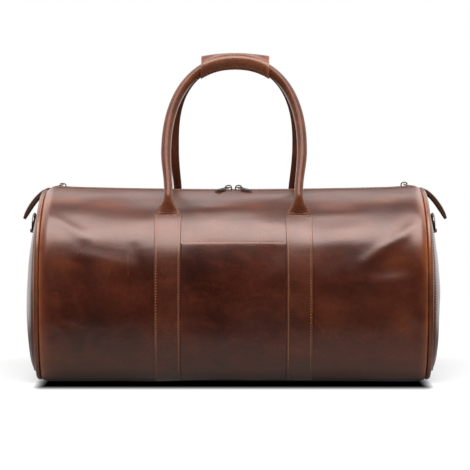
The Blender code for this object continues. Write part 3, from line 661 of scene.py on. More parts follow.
STRAP = leather("strap_leather", (0.040, 0.0072, 0.0034), (0.088, 0.0200, 0.0080), (0.34, 0.12, 0.042), 16.0)
TUBE = leather(
    "handle_leather", (0.060, 0.0150, 0.0070), (0.112, 0.032, 0.0142), (0.27, 0.092, 0.038),
    mottle=22.0, grain=0.12, rough=(0.25, 0.33), specular=0.40, coat=0.0,
)
PIPE = leather(
    "piping_leather", (0.045, 0.0100, 0.0050), (0.100, 0.026, 0.011), (0.30, 0.095, 0.028), 20.0, 0.5
)
WRAP_LOOK = leather(
    "wrap_leather", (0.085, 0.0215, 0.0100), (0.145, 0.043, 0.0195), (0.42, 0.165, 0.072),
    mottle=30.0, grain=0.12, rough=(0.24, 0.32), specular=0.70, coat=0.06,
)
# Painted shade: a dark strip in the pocket's mouth. Cut edges: pale along the handles and the wrap
MOUTH_SHADE_LOOK = leather(
    "painted_mouth_shade", (0.016, 0.0055, 0.0032), (0.030, 0.010, 0.006), (0.06, 0.03, 0.02), 60.0,
    specular=0.1, coat=0.0,
)
SEAM_LOOK = leather(
    "handle_seam", (0.13, 0.070, 0.045), (0.20, 0.120, 0.080), (0.28, 0.19, 0.13), 60.0,
    specular=0.15, coat=0.0,
)
PULLER_LOOK = leather(
    "puller_leather", (0.018, 0.0065, 0.0040), (0.040, 0.0140, 0.0085), (0.16, 0.075, 0.040), 40.0, 0.6
)
THREAD = thread("thread", (0.33, 0.140, 0.062), (0.50, 0.250, 0.125))
DARK_THREAD = thread("dark_thread", (0.060, 0.024, 0.014), (0.105, 0.045, 0.026))
ZIP_METAL = metal("zip_metal", (0.075, 0.062, 0.050), (0.30, 0.26, 0.21))
RING_METAL = metal("ring_metal", (0.060, 0.050, 0.042), (0.24, 0.20, 0.165))
TAPE_CLOTH = woven("zip_tape", (0.020, 0.010, 0.007), (0.060, 0.032, 0.022))
LINING_CLOTH = woven("lining", (0.055, 0.040, 0.028), (0.11, 0.085, 0.062), pitch=0.0011)
CORE = foam("core_foam", (0.62, 0.60, 0.53))
BOARD = foam("board", (0.055, 0.045, 0.038))


# Stitches
def stitch_template(length, width, height, rings=5, sides=6):
    """A short thick thread that dives into the leather at both ends, as points and faces."""
    points = []
    for i in range(rings):
        t = i / (rings - 1)
        swell = math.sin(math.pi * (0.12 + 0.76 * t))
        for k in range(sides):
            turn = 2 * math.pi * k / sides
            rise = height * (swell - 0.55)
            across, up = (width / 2 * swell * f(turn) for f in (math.cos, math.sin))
            points.append(((t - 0.5) * length, across, rise + up))
    faces = grid_faces(rings, sides, wrap_columns=True)
    faces.append(tuple(range(sides))[::-1])
    faces.append(tuple(range((rings - 1) * sides, rings * sides)))
    return np.array(points), faces


def resample(points, pitch):
    """Points at an even pitch along a line, with the number along it of each."""
    run = run_along(points)
    count = max(2, int(round(run[-1] / pitch)))
    at = (np.arange(count) + 0.5) * run[-1] / count
    return along_line(points, run, at), at / run[-1]


def stitch_rows(name, rows, material, pitch=0.0036, length=0.0022, width=0.00095, height=0.0005):
    """Stitches along several lines, each a pair of arrays: its points, and the way up out of the leather."""
    template, faces = stitch_template(length, width, height)
    verts, all_faces = [], []
    for line, ups in rows:
        line = np.asarray(line, float)
        spots, share = resample(line, pitch)
        tangent = unit(np.gradient(spots, axis=0))
        run = run_along(line)
        up = along_line(ups, run / run[-1], share)
        up = unit(up - (up * tangent).sum(1)[:, None] * tangent)
        across = np.cross(up, tangent)
        for spot, t, a, u in zip(spots, tangent, across, up):
            first = len(verts) * len(template)
            verts.append(spot + template @ np.stack([t, a, u]))
            all_faces += [tuple(first + i for i in f) for f in faces]
    return new_object(name, np.concatenate(verts), all_faces, material)


def barrel_line(x, at, out):
    """A line on the soft barrel and its ways up, for stitches."""
    x, at = np.broadcast_arrays(np.asarray(x, float), np.asarray(at, float))
    low = barrel(x, at, out)
    high = barrel(x, at, out + 0.001)
    return low, high - low


# Hull
TURNED_EDGE = 0.0011
TURNED_STEPS = 4
ZIP_STITCH_INSET = 0.0028


def x_columns(low, high, pitch):
    count = int(round((high - low) / pitch))
    return np.linspace(low, high, count + 1)


def turned_rows(low, high, pitch, turn_low, turn_high):
    """Places round the barrel and heights over it, with a rounded edge at the ends that are turned under."""
    rows = [(at, 0.0) for at in x_columns(low, high, pitch)]
    for index, side, turned in ((0, -1, turn_low), (-1, 1, turn_high)):
        if not turned:
            continue
        edge = rows[index][0]
        rows[index] = (edge - side * TURNED_EDGE, 0.0)
        extra = []
        for i in range(1, TURNED_STEPS + 1):
            turn = math.pi / 2 * i / TURNED_STEPS
            in_by, down_by = TURNED_EDGE * (1 - math.sin(turn)), TURNED_EDGE * (1 - math.cos(turn))
            extra.append((edge - side * in_by, -down_by))
        extra.append((edge, -LEATHER + GAP))
        rows = rows + extra if side > 0 else extra[::-1] + rows
    return np.array(rows).T


# Wear and painted light
# Worn patches of the front: their pixel in the photograph, half width and half height in pixels, amount
WORN_PATCHES = (
    (398, 262, 20, 16, 0.34),
    (404, 322, 14, 22, 0.32),
    (372, 300, 22, 10, 0.20),
    (388, 205, 26, 7, 0.55),
    (62, 206, 20, 8, 0.55),
    (104, 208, 22, 6, 0.45),
    (150, 203, 12, 5, 0.30),
    (110, 266, 20, 8, 0.25),
    (62, 262, 14, 18, 0.30),
    (58, 360, 14, 14, 0.35),
    (232, 300, 18, 14, 0.15),
    (330, 320, 16, 22, 0.22),
    (240, 208, 30, 6, 0.40),
    (345, 204, 22, 6, 0.50),
)
PATCH_PIXEL = 0.00128
# Paler near the top zips: partly wear, partly painted overhead light
TOP_WORN_AND_PAINTED_LIGHT, TOP_WORN_AND_PAINTED_LIGHT_REACH = 0.36, 0.085
# Paler near the base: painted floor bounce
BASE_PAINTED_BOUNCE, BASE_PAINTED_BOUNCE_REACH = 0.42, 0.085
RIM_WEAR, RIM_WEAR_REACH = 0.70, 0.020
# A thin painted highlight just inside each rim's edge
RIM_PAINTED_HIGHLIGHT, RIM_PAINTED_HIGHLIGHT_WIDTH = 0.45, 0.0016


def hull_wear_and_painted_light(x, at):
    """Paler leather: worn along the rims, widest near the top of the barrel, and in worn patches, with a
    painted highlight just inside each rim's edge, painted overhead light near the top and painted floor
    bounce near the base.
    """
    girth = np.abs(wrapped(at))
    from_rim = HALF_LENGTH - np.abs(x)
    ragged = smooth_noise(np.stack([x * 0, at, np.sign(x) * 0.2], -1), 0.03, 7.0)
    reach = RIM_WEAR_REACH * (0.75 + 0.5 * ragged)
    worn = np.clip(1 - from_rim / np.maximum(reach, 0.004), 0, 1) ** 1.3
    # Painted highlight: a thin pale line just inside the rim
    line = bell(from_rim - RIM_PAINTED_HIGHLIGHT_WIDTH, RIM_PAINTED_HIGHLIGHT_WIDTH)
    high = 0.85 + 0.15 * bell(girth - 0.12, 0.09)
    for px, py, wide, tall, amount in WORN_PATCHES:
        spot = front_spot(px, py)
        near = ((x - spot.x) / (wide * PATCH_PIXEL)) ** 2
        near = near + ((at + place_at_height(spot.z)) / (tall * PATCH_PIXEL)) ** 2
        worn = worn + amount * np.exp(-near)
    # Partly wear, partly painted overhead light, fading away from the top
    top_wear_and_painted_light = TOP_WORN_AND_PAINTED_LIGHT * np.clip(1 - girth / TOP_WORN_AND_PAINTED_LIGHT_REACH, 0, 1)
    # Painted floor bounce, fading upward from the base
    base_painted_bounce = BASE_PAINTED_BOUNCE * np.clip(1 - (HALF_GIRTH - HALF_FLAT - girth) / BASE_PAINTED_BOUNCE_REACH, 0, 1)
    return np.clip(RIM_WEAR * worn * high + RIM_PAINTED_HIGHLIGHT * line + top_wear_and_painted_light + base_painted_bounce, 0, 1)


def hull_panel(name, low, high, turned, node, pitch=0.0030):
    columns = np.concatenate([
        np.linspace(-HALF_LENGTH, -HALF_LENGTH + SHOULDER_WIDTH, 9)[:-1],
        x_columns(-HALF_LENGTH + SHOULDER_WIDTH, HALF_LENGTH - SHOULDER_WIDTH, pitch),
        np.linspace(HALF_LENGTH - SHOULDER_WIDTH, HALF_LENGTH, 9)[1:],
    ])
    at, out = turned_rows(low, high, pitch, *turned)
    x, at_grid = np.meshgrid(columns, at)
    out_grid = np.broadcast_to(out[:, None], x.shape)
    item = grid_object(name, barrel(x, at_grid, out_grid), HULL)
    # Hull 'wear' mixes real wear with painted light: rim highlight, overhead light on top, floor bounce at
    # the base
    attribute(item, "wear", hull_wear_and_painted_light(x, at_grid) + 0.15 * (out_grid < -0.0001))
    face_from_axis(item)
    thicken(item, LEATHER * 0.9)
    return place(item, BODY, "hull_leather", node)


def face_from_axis(item, height=WIDEST_HEIGHT):
    """Turns an open sheet's faces away from the line along X at this height."""
    mesh = item.data
    facing = 0.0
    for polygon in mesh.polygons:
        centre = polygon.center
        facing += polygon.normal.y * centre.y + polygon.normal.z * (centre.z - height)
    if facing < 0:
        mesh.flip_normals()


def hull():
    seam = place_at_height(BASE_SEAM_HEIGHT)
    half = ZIP_OPENING / 2
    hull_panel("front_hull", -seam, MAIN_ZIP_PLACE - half, (False, True), "front_panel")
    hull_panel("back_hull", GARMENT_ZIP_PLACE + half, seam, (True, False), "back_panel")
    hull_panel("top_hull", MAIN_ZIP_PLACE + half, GARMENT_ZIP_PLACE - half, (True, True), "top_strip")
    hull_panel("base_hull", seam + GAP, 2 * HALF_GIRTH - seam - GAP, (False, False), "base_panel", 0.006)
    rows = []
    xs = np.linspace(-HALF_LENGTH + 0.004, HALF_LENGTH - 0.004, 120)
    for zip_place in (MAIN_ZIP_PLACE, GARMENT_ZIP_PLACE):
        for sign in (-1, 1):
            rows.append(barrel_line(xs, zip_place + sign * (half + ZIP_STITCH_INSET), 0.0001))
    place(stitch_rows("zip_stitching", rows, DARK_THREAD), BODY, "hull_leather")


# Ends
END_STITCH_INSET = 0.0045


def at_rim(side, at, out):
    """Points in the plane of the end's piping."""
    points = barrel(side * HALF_LENGTH, at, out, soft=False)
    points[..., 0] = side * EDGE_X
    return points


def dome_edge(side, at, inset=0.0):
    return at_rim(side, at, -(PIPING + GAP) - inset)


def dome_bulge(share, height):
    swell = np.maximum(0, 1 - share**DOME_ROUNDNESS) ** DOME_EDGE_STEEPNESS
    above = np.maximum(0, (height - WIDEST_HEIGHT) / CROWN)
    return DOME_BULGE * swell * (1 - DOME_TOP_FALL_SHARE * above)


def on_dome_middle(height):
    top = dome_edge(1, 0.0)[2]
    bottom = dome_edge(1, HALF_GIRTH)[2]
    reach = top - WIDEST_HEIGHT if height > WIDEST_HEIGHT else WIDEST_HEIGHT - bottom
    return float(EDGE_X + dome_bulge(min(1, abs(height - WIDEST_HEIGHT) / reach), height))


def end_panel(side, side_name):
    rings, sides = 46, 160
    at = HALF_GIRTH * (2 * np.arange(sides) / sides - 1)
    edge = dome_edge(side, at)
    centre = np.array([side * EDGE_X, 0, WIDEST_HEIGHT])
    share = np.cos(math.pi / 2 * np.arange(rings) / rings)
    points = centre + (edge[None] - centre) * share[:, None, None]
    bulge = dome_bulge(share[:, None], points[..., 2])
    lumps = smooth_noise(points, 0.075, 11.0 + side) * 0.0016
    lumps = lumps + smooth_noise(points, 0.03, 13.0 + side) * 0.0006
    calm = 1 - bell(points[..., 1], 0.024) * bell(points[..., 2] - 0.19, 0.035)
    points[..., 0] += side * (bulge + lumps * (1 - share[:, None] ** 6) * calm)
    verts = np.concatenate([points.reshape(-1, 3), [centre + [side * DOME_BULGE, 0, 0]]])
    faces = grid_faces(rings, sides, wrap_columns=True)
    last = (rings - 1) * sides
    faces += [(last + k, last + (k + 1) % sides, rings * sides) for k in range(sides)]
    item = new_object(f"end_leather_{side_name}", verts, faces, HULL)
    if sum(p.normal.x for p in item.data.polygons) * side < 0:
        item.data.flip_normals()
    edge_wear = np.clip((share - 0.93) / 0.07, 0, 1)[:, None] * np.ones(sides)
    attribute(item, "wear", np.concatenate([0.45 * edge_wear.ravel(), [0]]))
    thicken(item, LEATHER * 0.9)
    place(item, BODY, "hull_leather", f"end_panel_{side_name}")


def tube_rings(path, radius, ups=None, sides=8):
    """Rings of this radius round a path, which start from its ways up."""
    path = np.asarray(path, float)
    turns = round_turns(sides)
    rings = []
    for i, (middle, way) in enumerate(zip(path, unit(np.gradient(path, axis=0)))):
        up = np.array(ups[i] if ups is not None else (1.0, 0, 0))
        up = unit(up - way * np.dot(up, way))
        across = np.cross(way, up)
        rings.append(middle + np.outer(np.cos(turns) * radius, across) + np.outer(np.sin(turns) * radius, up))
    return np.array(rings)


def loop_rings(path, up, radii, sides):
    """Rings of these radii round a path that closes on itself and lies square to `up`."""
    ahead = unit(np.roll(path, -1, 0) - np.roll(path, 1, 0))
    turns = round_turns(sides)
    rings = []
    for middle, way, radius in zip(path, ahead, radii):
        across = np.cross(way, up)
        rings.append(middle + np.outer(np.cos(turns) * radius, across) + np.outer(np.sin(turns) * radius, up))
    return np.array(rings)


def piping(side, side_name):
    count = 360
    at = HALF_GIRTH * (2 * np.arange(count) / count - 1)
    up = np.array([side * 1.0, 0, 0])
    uneven = [0.985 + 0.03 * noise.noise(Vector((i * 0.16, side * 3.0, 0.5))) for i in range(count)]
    radii = [PIPING / 2 * share for share in uneven]
    points = loop_rings(at_rim(side, at, -PIPING / 2), up, radii, 16)
    item = loop_object(f"piping_{side_name}", points, PIPE)
    outward = np.abs(points[..., 0]) - EDGE_X
    high = bell(points[..., 2] - 0.20, 0.09)
    attribute(item, "wear", np.clip(0.15 + 0.75 * high * (0.5 - outward / PIPING), 0, 1))
    place(item, BODY, "trim_leather", f"end_piping_{side_name}")
    inner = dome_edge(side, at, END_STITCH_INSET)
    share = 1 - END_STITCH_INSET / 0.12
    inner[:, 0] += side * (dome_bulge(np.full(count, share), inner[:, 2]) + 0.0002)
    closed = np.concatenate([inner, inner[:1]])
    line = (closed, np.broadcast_to(up, closed.shape))
    place(stitch_rows(f"end_stitching_{side_name}", [line], DARK_THREAD), BODY, "trim_leather")


# Straps and pocket
STITCH_INSET = 0.0028
STITCH_GROOVE = 0.00035
BAND_ROUND = 0.0008
BAND_END = 0.0007


def band_section(half, thickness, steps=22):
    """A strap's cross-section: distances across and up, with rounded edges and a stitch groove near each."""
    radius = BAND_ROUND
    top = []
    for u in np.linspace(-half + radius, half - radius, steps):
        groove = STITCH_GROOVE * bell(half - abs(u) - STITCH_INSET, 0.0007)
        crown = 0.0004 * (1 - (u / half) ** 2)
        top.append((u, thickness - groove + crown))
    right = [(half - radius * (1 - math.sin(a)), thickness - radius * (1 - math.cos(a))) for a in (0.6, 1.2)]
    right += [(half, thickness - radius), (half, 0.0)]
    return [(-u, v) for u, v in reversed(right)] + top + right


def band(name, middle, half, low, high, material):
    """A strap on the barrel between two places round it."""
    section = np.array(band_section(half, GAP + TRIM))
    places = x_columns(low, high, 0.003)
    narrowed = middle + section[:, 0] * (1 - 0.0006 / half)
    lowered = np.maximum(0, section[:, 1] - BAND_END)
    rings = [barrel(middle + section[:, 0], at, section[:, 1]) for at in places]
    rings.insert(0, barrel(narrowed, places[0] - 0.0006, lowered))
    rings.append(barrel(narrowed, places[-1] + 0.0006, lowered))
    item = loft_object(name, rings, material)
    edge = bell(half - np.abs(section[:, 0]), 0.0022) * (section[:, 1] > TRIM * 0.4)
    attribute(item, "wear", np.tile(edge * 0.15, len(rings)))
    return item


def straps():
    seam = place_at_height(BASE_SEAM_HEIGHT) - GAP
    top = place_at_height(STRAP_TOP_HEIGHT)
    reach = STRAP_WIDTH / 2 - STITCH_INSET
    for face, sign in FACES:
        for side_name, side in SIDES:
            middle = side * STRAP_SPACING / 2
            low, high = sorted((sign * seam, sign * top))
            item = band(f"strap_leather_{face}_{side_name}", middle, STRAP_WIDTH / 2, low, high, STRAP)
            place(item, BODY, "trim_leather", f"strap_{face}_{side_name}")
            rows = []
            places = np.linspace(sign * (seam - 0.002), sign * (top + STITCH_INSET), 120)
            for edge in (-1, 1):
                x = middle + edge * reach
                rows.append(barrel_line(x, places, GAP + TRIM - STITCH_GROOVE + 0.0002))
            xs = np.linspace(middle - reach, middle + reach, 20)
            rows.append(barrel_line(xs, sign * (top + STITCH_INSET), GAP + TRIM + 0.0003))
            place(stitch_rows(f"strap_stitching_{face}_{side_name}", rows, THREAD), BODY, "trim_leather")


POCKET_ROLL = 0.0005
POCKET_STITCH_INSET = 0.0042
# Size of the dark strip of painted shade in the pocket's mouth
MOUTH_SHADE_STRIP = 0.0008


def pocket():
    """The slip pocket between the straps, with a rolled and sewn top edge, and a dark strip of painted shade
    in its mouth.
    """
    seam = place_at_height(BASE_SEAM_HEIGHT) - GAP
    top = place_at_height(POCKET_TOP_HEIGHT)
    half = (STRAP_SPACING - STRAP_WIDTH) / 2 - GAP
    columns = np.linspace(-half, half, 60)
    places = x_columns(-seam, -top, 0.003)
    thickness = GAP + TRIM
    from_top = np.abs(places + top)
    out = thickness + 0.0007 * bell(from_top, 0.009) - 0.0004 * bell(from_top - POCKET_STITCH_INSET, 0.0008)
    turns = np.array((0.4, 0.8, 1.2, 1.57))
    rolled = out[-1] - POCKET_ROLL * (1 - np.cos(turns))
    at = np.concatenate([places, -top + POCKET_ROLL * np.sin(turns), [-top + POCKET_ROLL]])
    out = np.concatenate([out, rolled, [0.0]])
    x, at_grid = np.meshgrid(columns, at)
    bow = 0.0005 * bell(at_grid + top, 0.03) * (1 - (x / half) ** 2)
    item = grid_object("pocket_leather", barrel(x, at_grid, out[:, None] + bow), HULL)
    attribute(item, "wear", 0.60 * bell(at_grid + top, 0.0012))
    face_from_axis(item)
    thicken(item, TRIM * 0.8)
    place(item, BODY, "hull_leather", "front_pocket")
    xs = np.linspace(-half + 0.002, half - 0.002, 50)
    row = -top - POCKET_STITCH_INSET
    line = barrel(xs, row, thickness + 0.0004 + 0.0005 * (1 - (xs / half) ** 2))
    up = barrel(xs, row, thickness + 0.01) - barrel(xs, row, thickness)
    place(stitch_rows("pocket_stitching", [(line, up)], DARK_THREAD), BODY, "hull_leather")
    # A dark strip of painted shade along the pocket's mouth, just above its top edge
    xs = np.linspace(-half, half, 60)
    line, ups = barrel_line(xs, -top + MOUTH_SHADE_STRIP, MOUTH_SHADE_STRIP / 2)
    place(loft_object("pocket_opening_shade_strip", tube_rings(line, MOUTH_SHADE_STRIP, ups), MOUTH_SHADE_LOOK), BODY, "hull_leather")


# Handles
TUBE_PITCH = 0.0025
TUBE_SIDES = 40
CORE_SHARE = 0.63
NECK_SLIMMING = 0.15
NECK_SLIM_HEIGHTS = (0.302, 0.262)
TAB_HOLLOW = 0.0042
TAB_FOLDS = 66.0
TAB_FOLD_HEIGHT = 0.00042
TAB_FOLD_PLACE, TAB_FOLD_REACH = 0.22, 0.12
SEAM_WIDTH = 0.0010
SEAM_RISE = 0.0007
TAB_SEAM_SHARES = (0.08, 0.62)
HANDLE_LEAN = 0.013
BACK_PINCH = 0.055
BACK_ASIDE = 0.002
HANDLE_WEAR = 0.22


def handle_depth(height):
    fall = np.maximum(0, (HANDLE_TOP_HEIGHT - height) / (HANDLE_TOP_HEIGHT - NECK_HEIGHT))
    return HANDLE_TOP_DEPTH + (NECK_DEPTH - HANDLE_TOP_DEPTH) * fall**LEAN_CURVE


def handle_half(leg=24, arch=66):
    """The middle line of half a handle in X and Z, from the neck up to the top."""
    points = []
    for i in range(leg):
        t = i / leg
        ease = (1 - math.cos(math.pi * t)) / 2
        x = (NECK_SPACING + (HANDLE_SPREAD - NECK_SPACING) * ease) / 2
        points.append((x, NECK_HEIGHT + (SPREAD_HEIGHT - NECK_HEIGHT) * t))
    for i in range(arch + 1):
        turn = math.pi / 2 * i / arch
        across = max(0, math.cos(turn)) ** (2 / ARCH_FULLNESS)
        up = math.sin(turn) ** (2 / ARCH_FULLNESS)
        points.append((HANDLE_SPREAD / 2 * across, SPREAD_HEIGHT + (HANDLE_TOP_HEIGHT - SPREAD_HEIGHT) * up))
    return np.array(points)


def tab_line(sign, side):
    """The middle line of a handle's flared root, from the strap up to the neck."""
    base = sign * (place_at_height(STRAP_TOP_HEIGHT) - GAP)
    x_base, x_neck = side * STRAP_SPACING / 2, side * NECK_SPACING / 2
    foot = barrel(x_base, base + sign * 0.004, -0.0002)
    further = barrel(x_base, base, -0.0002)
    climb = unit(further - foot)
    (_, first), (_, second) = handle_half()[:2]
    way = unit(np.array([0, sign * (handle_depth(second) - handle_depth(first)), second - first]))
    neck = np.array([x_neck, sign * NECK_DEPTH, NECK_HEIGHT])
    span = np.linalg.norm(neck - foot)
    a, b = foot + climb * span / 3, neck - way * span / 3
    t = np.linspace(0, 1, 30)[:, None]
    return (1 - t) ** 3 * foot + 3 * t * (1 - t) ** 2 * a + 3 * t * t * (1 - t) * b + t**3 * neck


def lean(points, sign=-1):
    """The handles lean a little to one side, and the back one stands closer in, as in the photograph."""
    points = np.array(points, float)
    x, z = points[..., 0], points[..., 2]
    low = smoothstep(HANDLE_TOP_HEIGHT - 0.008, SPREAD_HEIGHT, z)
    low = low * smoothstep(STRAP_TOP_HEIGHT, NECK_HEIGHT, z)
    if sign > 0:
        x = x * (1 - BACK_PINCH * low) + BACK_ASIDE * low
    points[..., 0] = x + HANDLE_LEAN * np.maximum(0, z - NECK_HEIGHT)
    return points


def handle_path(sign):
    """The middle line of a handle and both its roots, and how many steps each root takes."""
    arch = [(x, sign * handle_depth(z), z) for x, z in handle_half()]
    whole = np.array([(-x, y, z) for x, y, z in arch] + arch[-2::-1])
    run = run_along(whole)
    tube = along_line(whole, run, np.linspace(0, run[-1], int(run[-1] / TUBE_PITCH)))
    left, right = (tab_line(sign, side)[:-1] for side in (-1, 1))
    return lean(np.concatenate([left, tube, right[::-1]]), sign), len(left) - 1


def handle_section(t, height):
    """Across and outward from the middle line, at a share `t` up the root, 1 for the tube itself."""
    turns = round_turns(TUBE_SIDES) + math.pi / TUBE_SIDES
    flare = (1 + math.cos(math.pi * t)) / 2
    radius = HANDLE_RADIUS * (1 - NECK_SLIMMING * float(smoothstep(*NECK_SLIM_HEIGHTS, height)))
    half_width = radius + (TAB_BASE_WIDTH / 2 - radius) * flare
    half_thick = TRIM / 2 + (radius - TRIM / 2) * (1 - (1 - t) ** TAB_SWELL_CURVE)
    roundness = TAB_ROUNDNESS[1] + (TAB_ROUNDNESS[0] - TAB_ROUNDNESS[1]) * (1 - t) ** 3
    ca, sa = np.cos(turns), np.sin(turns)
    across = np.sign(ca) * np.abs(ca) ** (2 / roundness) * half_width
    outward = np.sign(sa) * np.abs(sa) ** (2 / roundness) * half_thick
    hollow = TAB_HOLLOW * 4 * t * (1 - t) ** 2 * bell(across / half_width, 0.5)
    fold = TAB_FOLD_HEIGHT * bell(t - TAB_FOLD_PLACE, TAB_FOLD_REACH) * math.sin(t * TAB_FOLDS)
    outward = outward + np.where(sa > 0, fold * (1 - (across / half_width) ** 4) - hollow, 0)
    return across, outward, half_width, radius


def handle(sign, face):
    """A rolled handle with its two flared roots, as one skin."""
    path, root = handle_path(sign)
    centre = np.array([0, 0, SPREAD_HEIGHT])
    seam, edges = [], {-1: [], 1: []}
    rings, wear, foam = [], [], []
    for i, (middle, way) in enumerate(zip(path, unit(np.gradient(path, axis=0)))):
        t = min(1.0, min(i, len(path) - 1 - i) / root)
        forward = np.array([0, sign * 1.0, 0])
        deep = unit(forward - way * np.dot(forward, way))
        wide = np.cross(way, deep)
        across, outward, half_width, radius = handle_section(t, middle[2])
        ring = middle + np.outer(across, wide) + np.outer(outward, deep)
        if t >= 1:
            foam.append(middle + (ring - middle) * CORE_SHARE)
            inner = centre - middle
            inner = inner - way * np.dot(inner, way)
            inner[1] = -sign * 0.4 * np.linalg.norm(inner)
            inner = unit(inner - way * np.dot(inner, way))
            radial = (ring - middle) / radius
            ring = ring + radial * SEAM_RISE * bell(radial @ inner - 1.0, 0.035)[:, None]
            seam.append((middle + inner * (radius + SEAM_RISE), inner))
        elif t > TAB_SEAM_SHARES[0]:
            inner = unit(-wide * math.copysign(1, middle[0] * wide[0]) - deep * (0.30 * t + 0.02))
            reach = half_width + SEAM_RISE
            seam.append((middle + inner * reach, inner))
            if t < TAB_SEAM_SHARES[1]:
                edges[1 if middle[0] > 0 else -1].append((middle - inner * reach, -inner))
        rings.append(ring)
        wear.append(HANDLE_WEAR * (0.4 + 0.6 * np.abs(across) / half_width) ** (1 + 2 * (1 - t)))
    item = loft_object(f"{face}_handle_leather", rings, TUBE)
    attribute(item, "wear", np.array(wear))
    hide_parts(f"{face}_handle", *[f"handle_tab_{face}_{side_name}" for side_name, _ in SIDES])
    core = loft_object(f"{face}_handle_foam", foam, CORE)
    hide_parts(f"{face}_handle_core")
    cut = seam_strip(f"{face}_handle_seam", seam)
    trims = [seam_strip(f"{face}_tab_edge_{side_name}", edges[side]) for side_name, side in SIDES]
    for piece in (core, item, cut, *trims):
        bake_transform(piece)


def seam_strip(name, seam):
    """The pale cut edges of the rolled leather, along the inner side of the handle."""
    path, ups = zip(*seam)
    return loft_object(name, tube_rings(path, SEAM_WIDTH / 2, ups), SEAM_LOOK)


# Wrap
CREST_HALF = 0.0040
CREST_RADIUS = 0.0030
LIP_SHARE = 0.435
LIP_RISE = 0.050
WRAP_FRONT_SHARES = (-0.035, LIP_SHARE)
WRAP_FLAP_SHARES = (0.963, 0.36)
WRAP_COLUMNS = 47
WRAP_ROWS_PER_SHARE = 110
WRAP_STITCH_INSET = 0.0028
FLAP_BEND = ((-0.007, 0.002), (0.005, -0.012))


def arch_at(x):
    share = min(1, abs(x) / (HANDLE_SPREAD / 2))
    up = (1 - share**ARCH_FULLNESS) ** (1 / ARCH_FULLNESS)
    rise = HANDLE_TOP_HEIGHT - SPREAD_HEIGHT
    slope = rise / (HANDLE_SPREAD / 2) * (share / up) ** (ARCH_FULLNESS - 1)
    return SPREAD_HEIGHT + rise * up, slope


def crest_at(x):
    return HANDLE_TOP_HEIGHT + HANDLE_RADIUS + WRAP_RISE - WRAP_CROWN * (2 * x / WRAP_LENGTH) ** 2


def convex(points):
    """The convex outline round points, anticlockwise."""
    points = sorted(set(map(tuple, points)))

    def half(run):
        kept = []
        for p in run:
            while len(kept) > 1:
                (ax, ay), (bx, by) = kept[-2], kept[-1]
                if (bx - ax) * (p[1] - ay) - (by - ay) * (p[0] - ax) > 0:
                    break
                kept.pop()
            kept.append(p)
        return kept[:-1]

    return half(points) + half(points[::-1])


def wrap_section(x, grow):
    """The closed line of leather pulled round both handles, from the middle of its crest over the front."""
    height, slope = arch_at(x)
    tall = HANDLE_RADIUS * math.hypot(1, slope) + 3 * GAP
    depth = float(handle_depth(height)) + WRAP_ROOM * 0.3 * abs(2 * x / WRAP_LENGTH)
    crest = crest_at(x)
    handle_half_y, crest_radius = HANDLE_RADIUS + 2 * GAP + grow, CREST_RADIUS + grow
    points = []
    for a in round_turns(72):
        for side in (-1, 1):
            points.append((side * depth + handle_half_y * math.cos(a), height + (tall + grow) * math.sin(a)))
            crest_z = crest - CREST_RADIUS + crest_radius * math.sin(a)
            points.append((side * CREST_HALF + crest_radius * math.cos(a), crest_z))
    loop = np.array(convex(points))
    top = loop[:, 1].max()
    loop = np.concatenate([loop, loop[:1]])
    run = run_along(loop)
    dense = along_line(loop, run, np.linspace(0, run[-1], 400, endpoint=False))
    first = int(np.argmin(np.where(dense[:, 1] > top - 0.0008, np.abs(dense[:, 0]), 9)))
    dense = np.roll(dense, -first, 0)
    if dense[20, 0] > 0:
        dense = np.roll(dense[::-1], 1, 0)
    return dense


def lip_share(x):
    """Where on the wrap's section its front ends, higher towards both ends of the wrap."""
    return LIP_SHARE - LIP_RISE * (2 * x / WRAP_LENGTH) ** 2


def wrap_sheet(name, shares, lips):
    """Part of the wrap's leather between two shares of its section, 0 at the crest and 0.5 at the bottom."""
    rows = int(abs(shares[1] - shares[0]) * WRAP_ROWS_PER_SHARE)
    rings = []
    for x in np.linspace(-WRAP_LENGTH / 2, WRAP_LENGTH / 2, WRAP_COLUMNS):
        inner = wrap_section(x, WRAP_LEATHER)
        outer = wrap_section(x, 2 * WRAP_LEATHER + GAP)
        ring = []
        for share in np.linspace(shares[0], lip_share(x) if lips else shares[1], rows + 1):
            at = (share % 1.0) * len(inner)
            i, j, t = int(at) % len(inner), (int(at) + 1) % len(inner), at % 1.0
            near = inner[i] * (1 - t) + inner[j] * t
            far = outer[i] * (1 - t) + outer[j] * t
            step = float(smoothstep(LIP_SHARE - 0.10, LIP_SHARE - 0.05, share)) if lips else 0.0
            y, z = near * (1 - step) + far * step
            pucker = 0.00035 * math.sin(share * 60 + x * 90) * (2 * x / WRAP_LENGTH) ** 4
            ring.append((x, y, z + pucker))
        rings.append(ring)
    points = lean(rings)
    item = grid_object(name, points, WRAP_LOOK)
    face_from_axis(item, HANDLE_TOP_HEIGHT)
    end_share = np.abs(points[..., 0] * 2 / WRAP_LENGTH)
    from_lip = np.linspace(1, 0, points.shape[1])[None, :]
    edge = bell(1 - end_share, 0.035) + (1.6 * bell(from_lip, 0.03) if lips else 0)
    attribute(item, "wear", 0.12 + 0.55 * edge)
    thicken(item, WRAP_LEATHER)
    bevel(item, 0.0005)
    return item


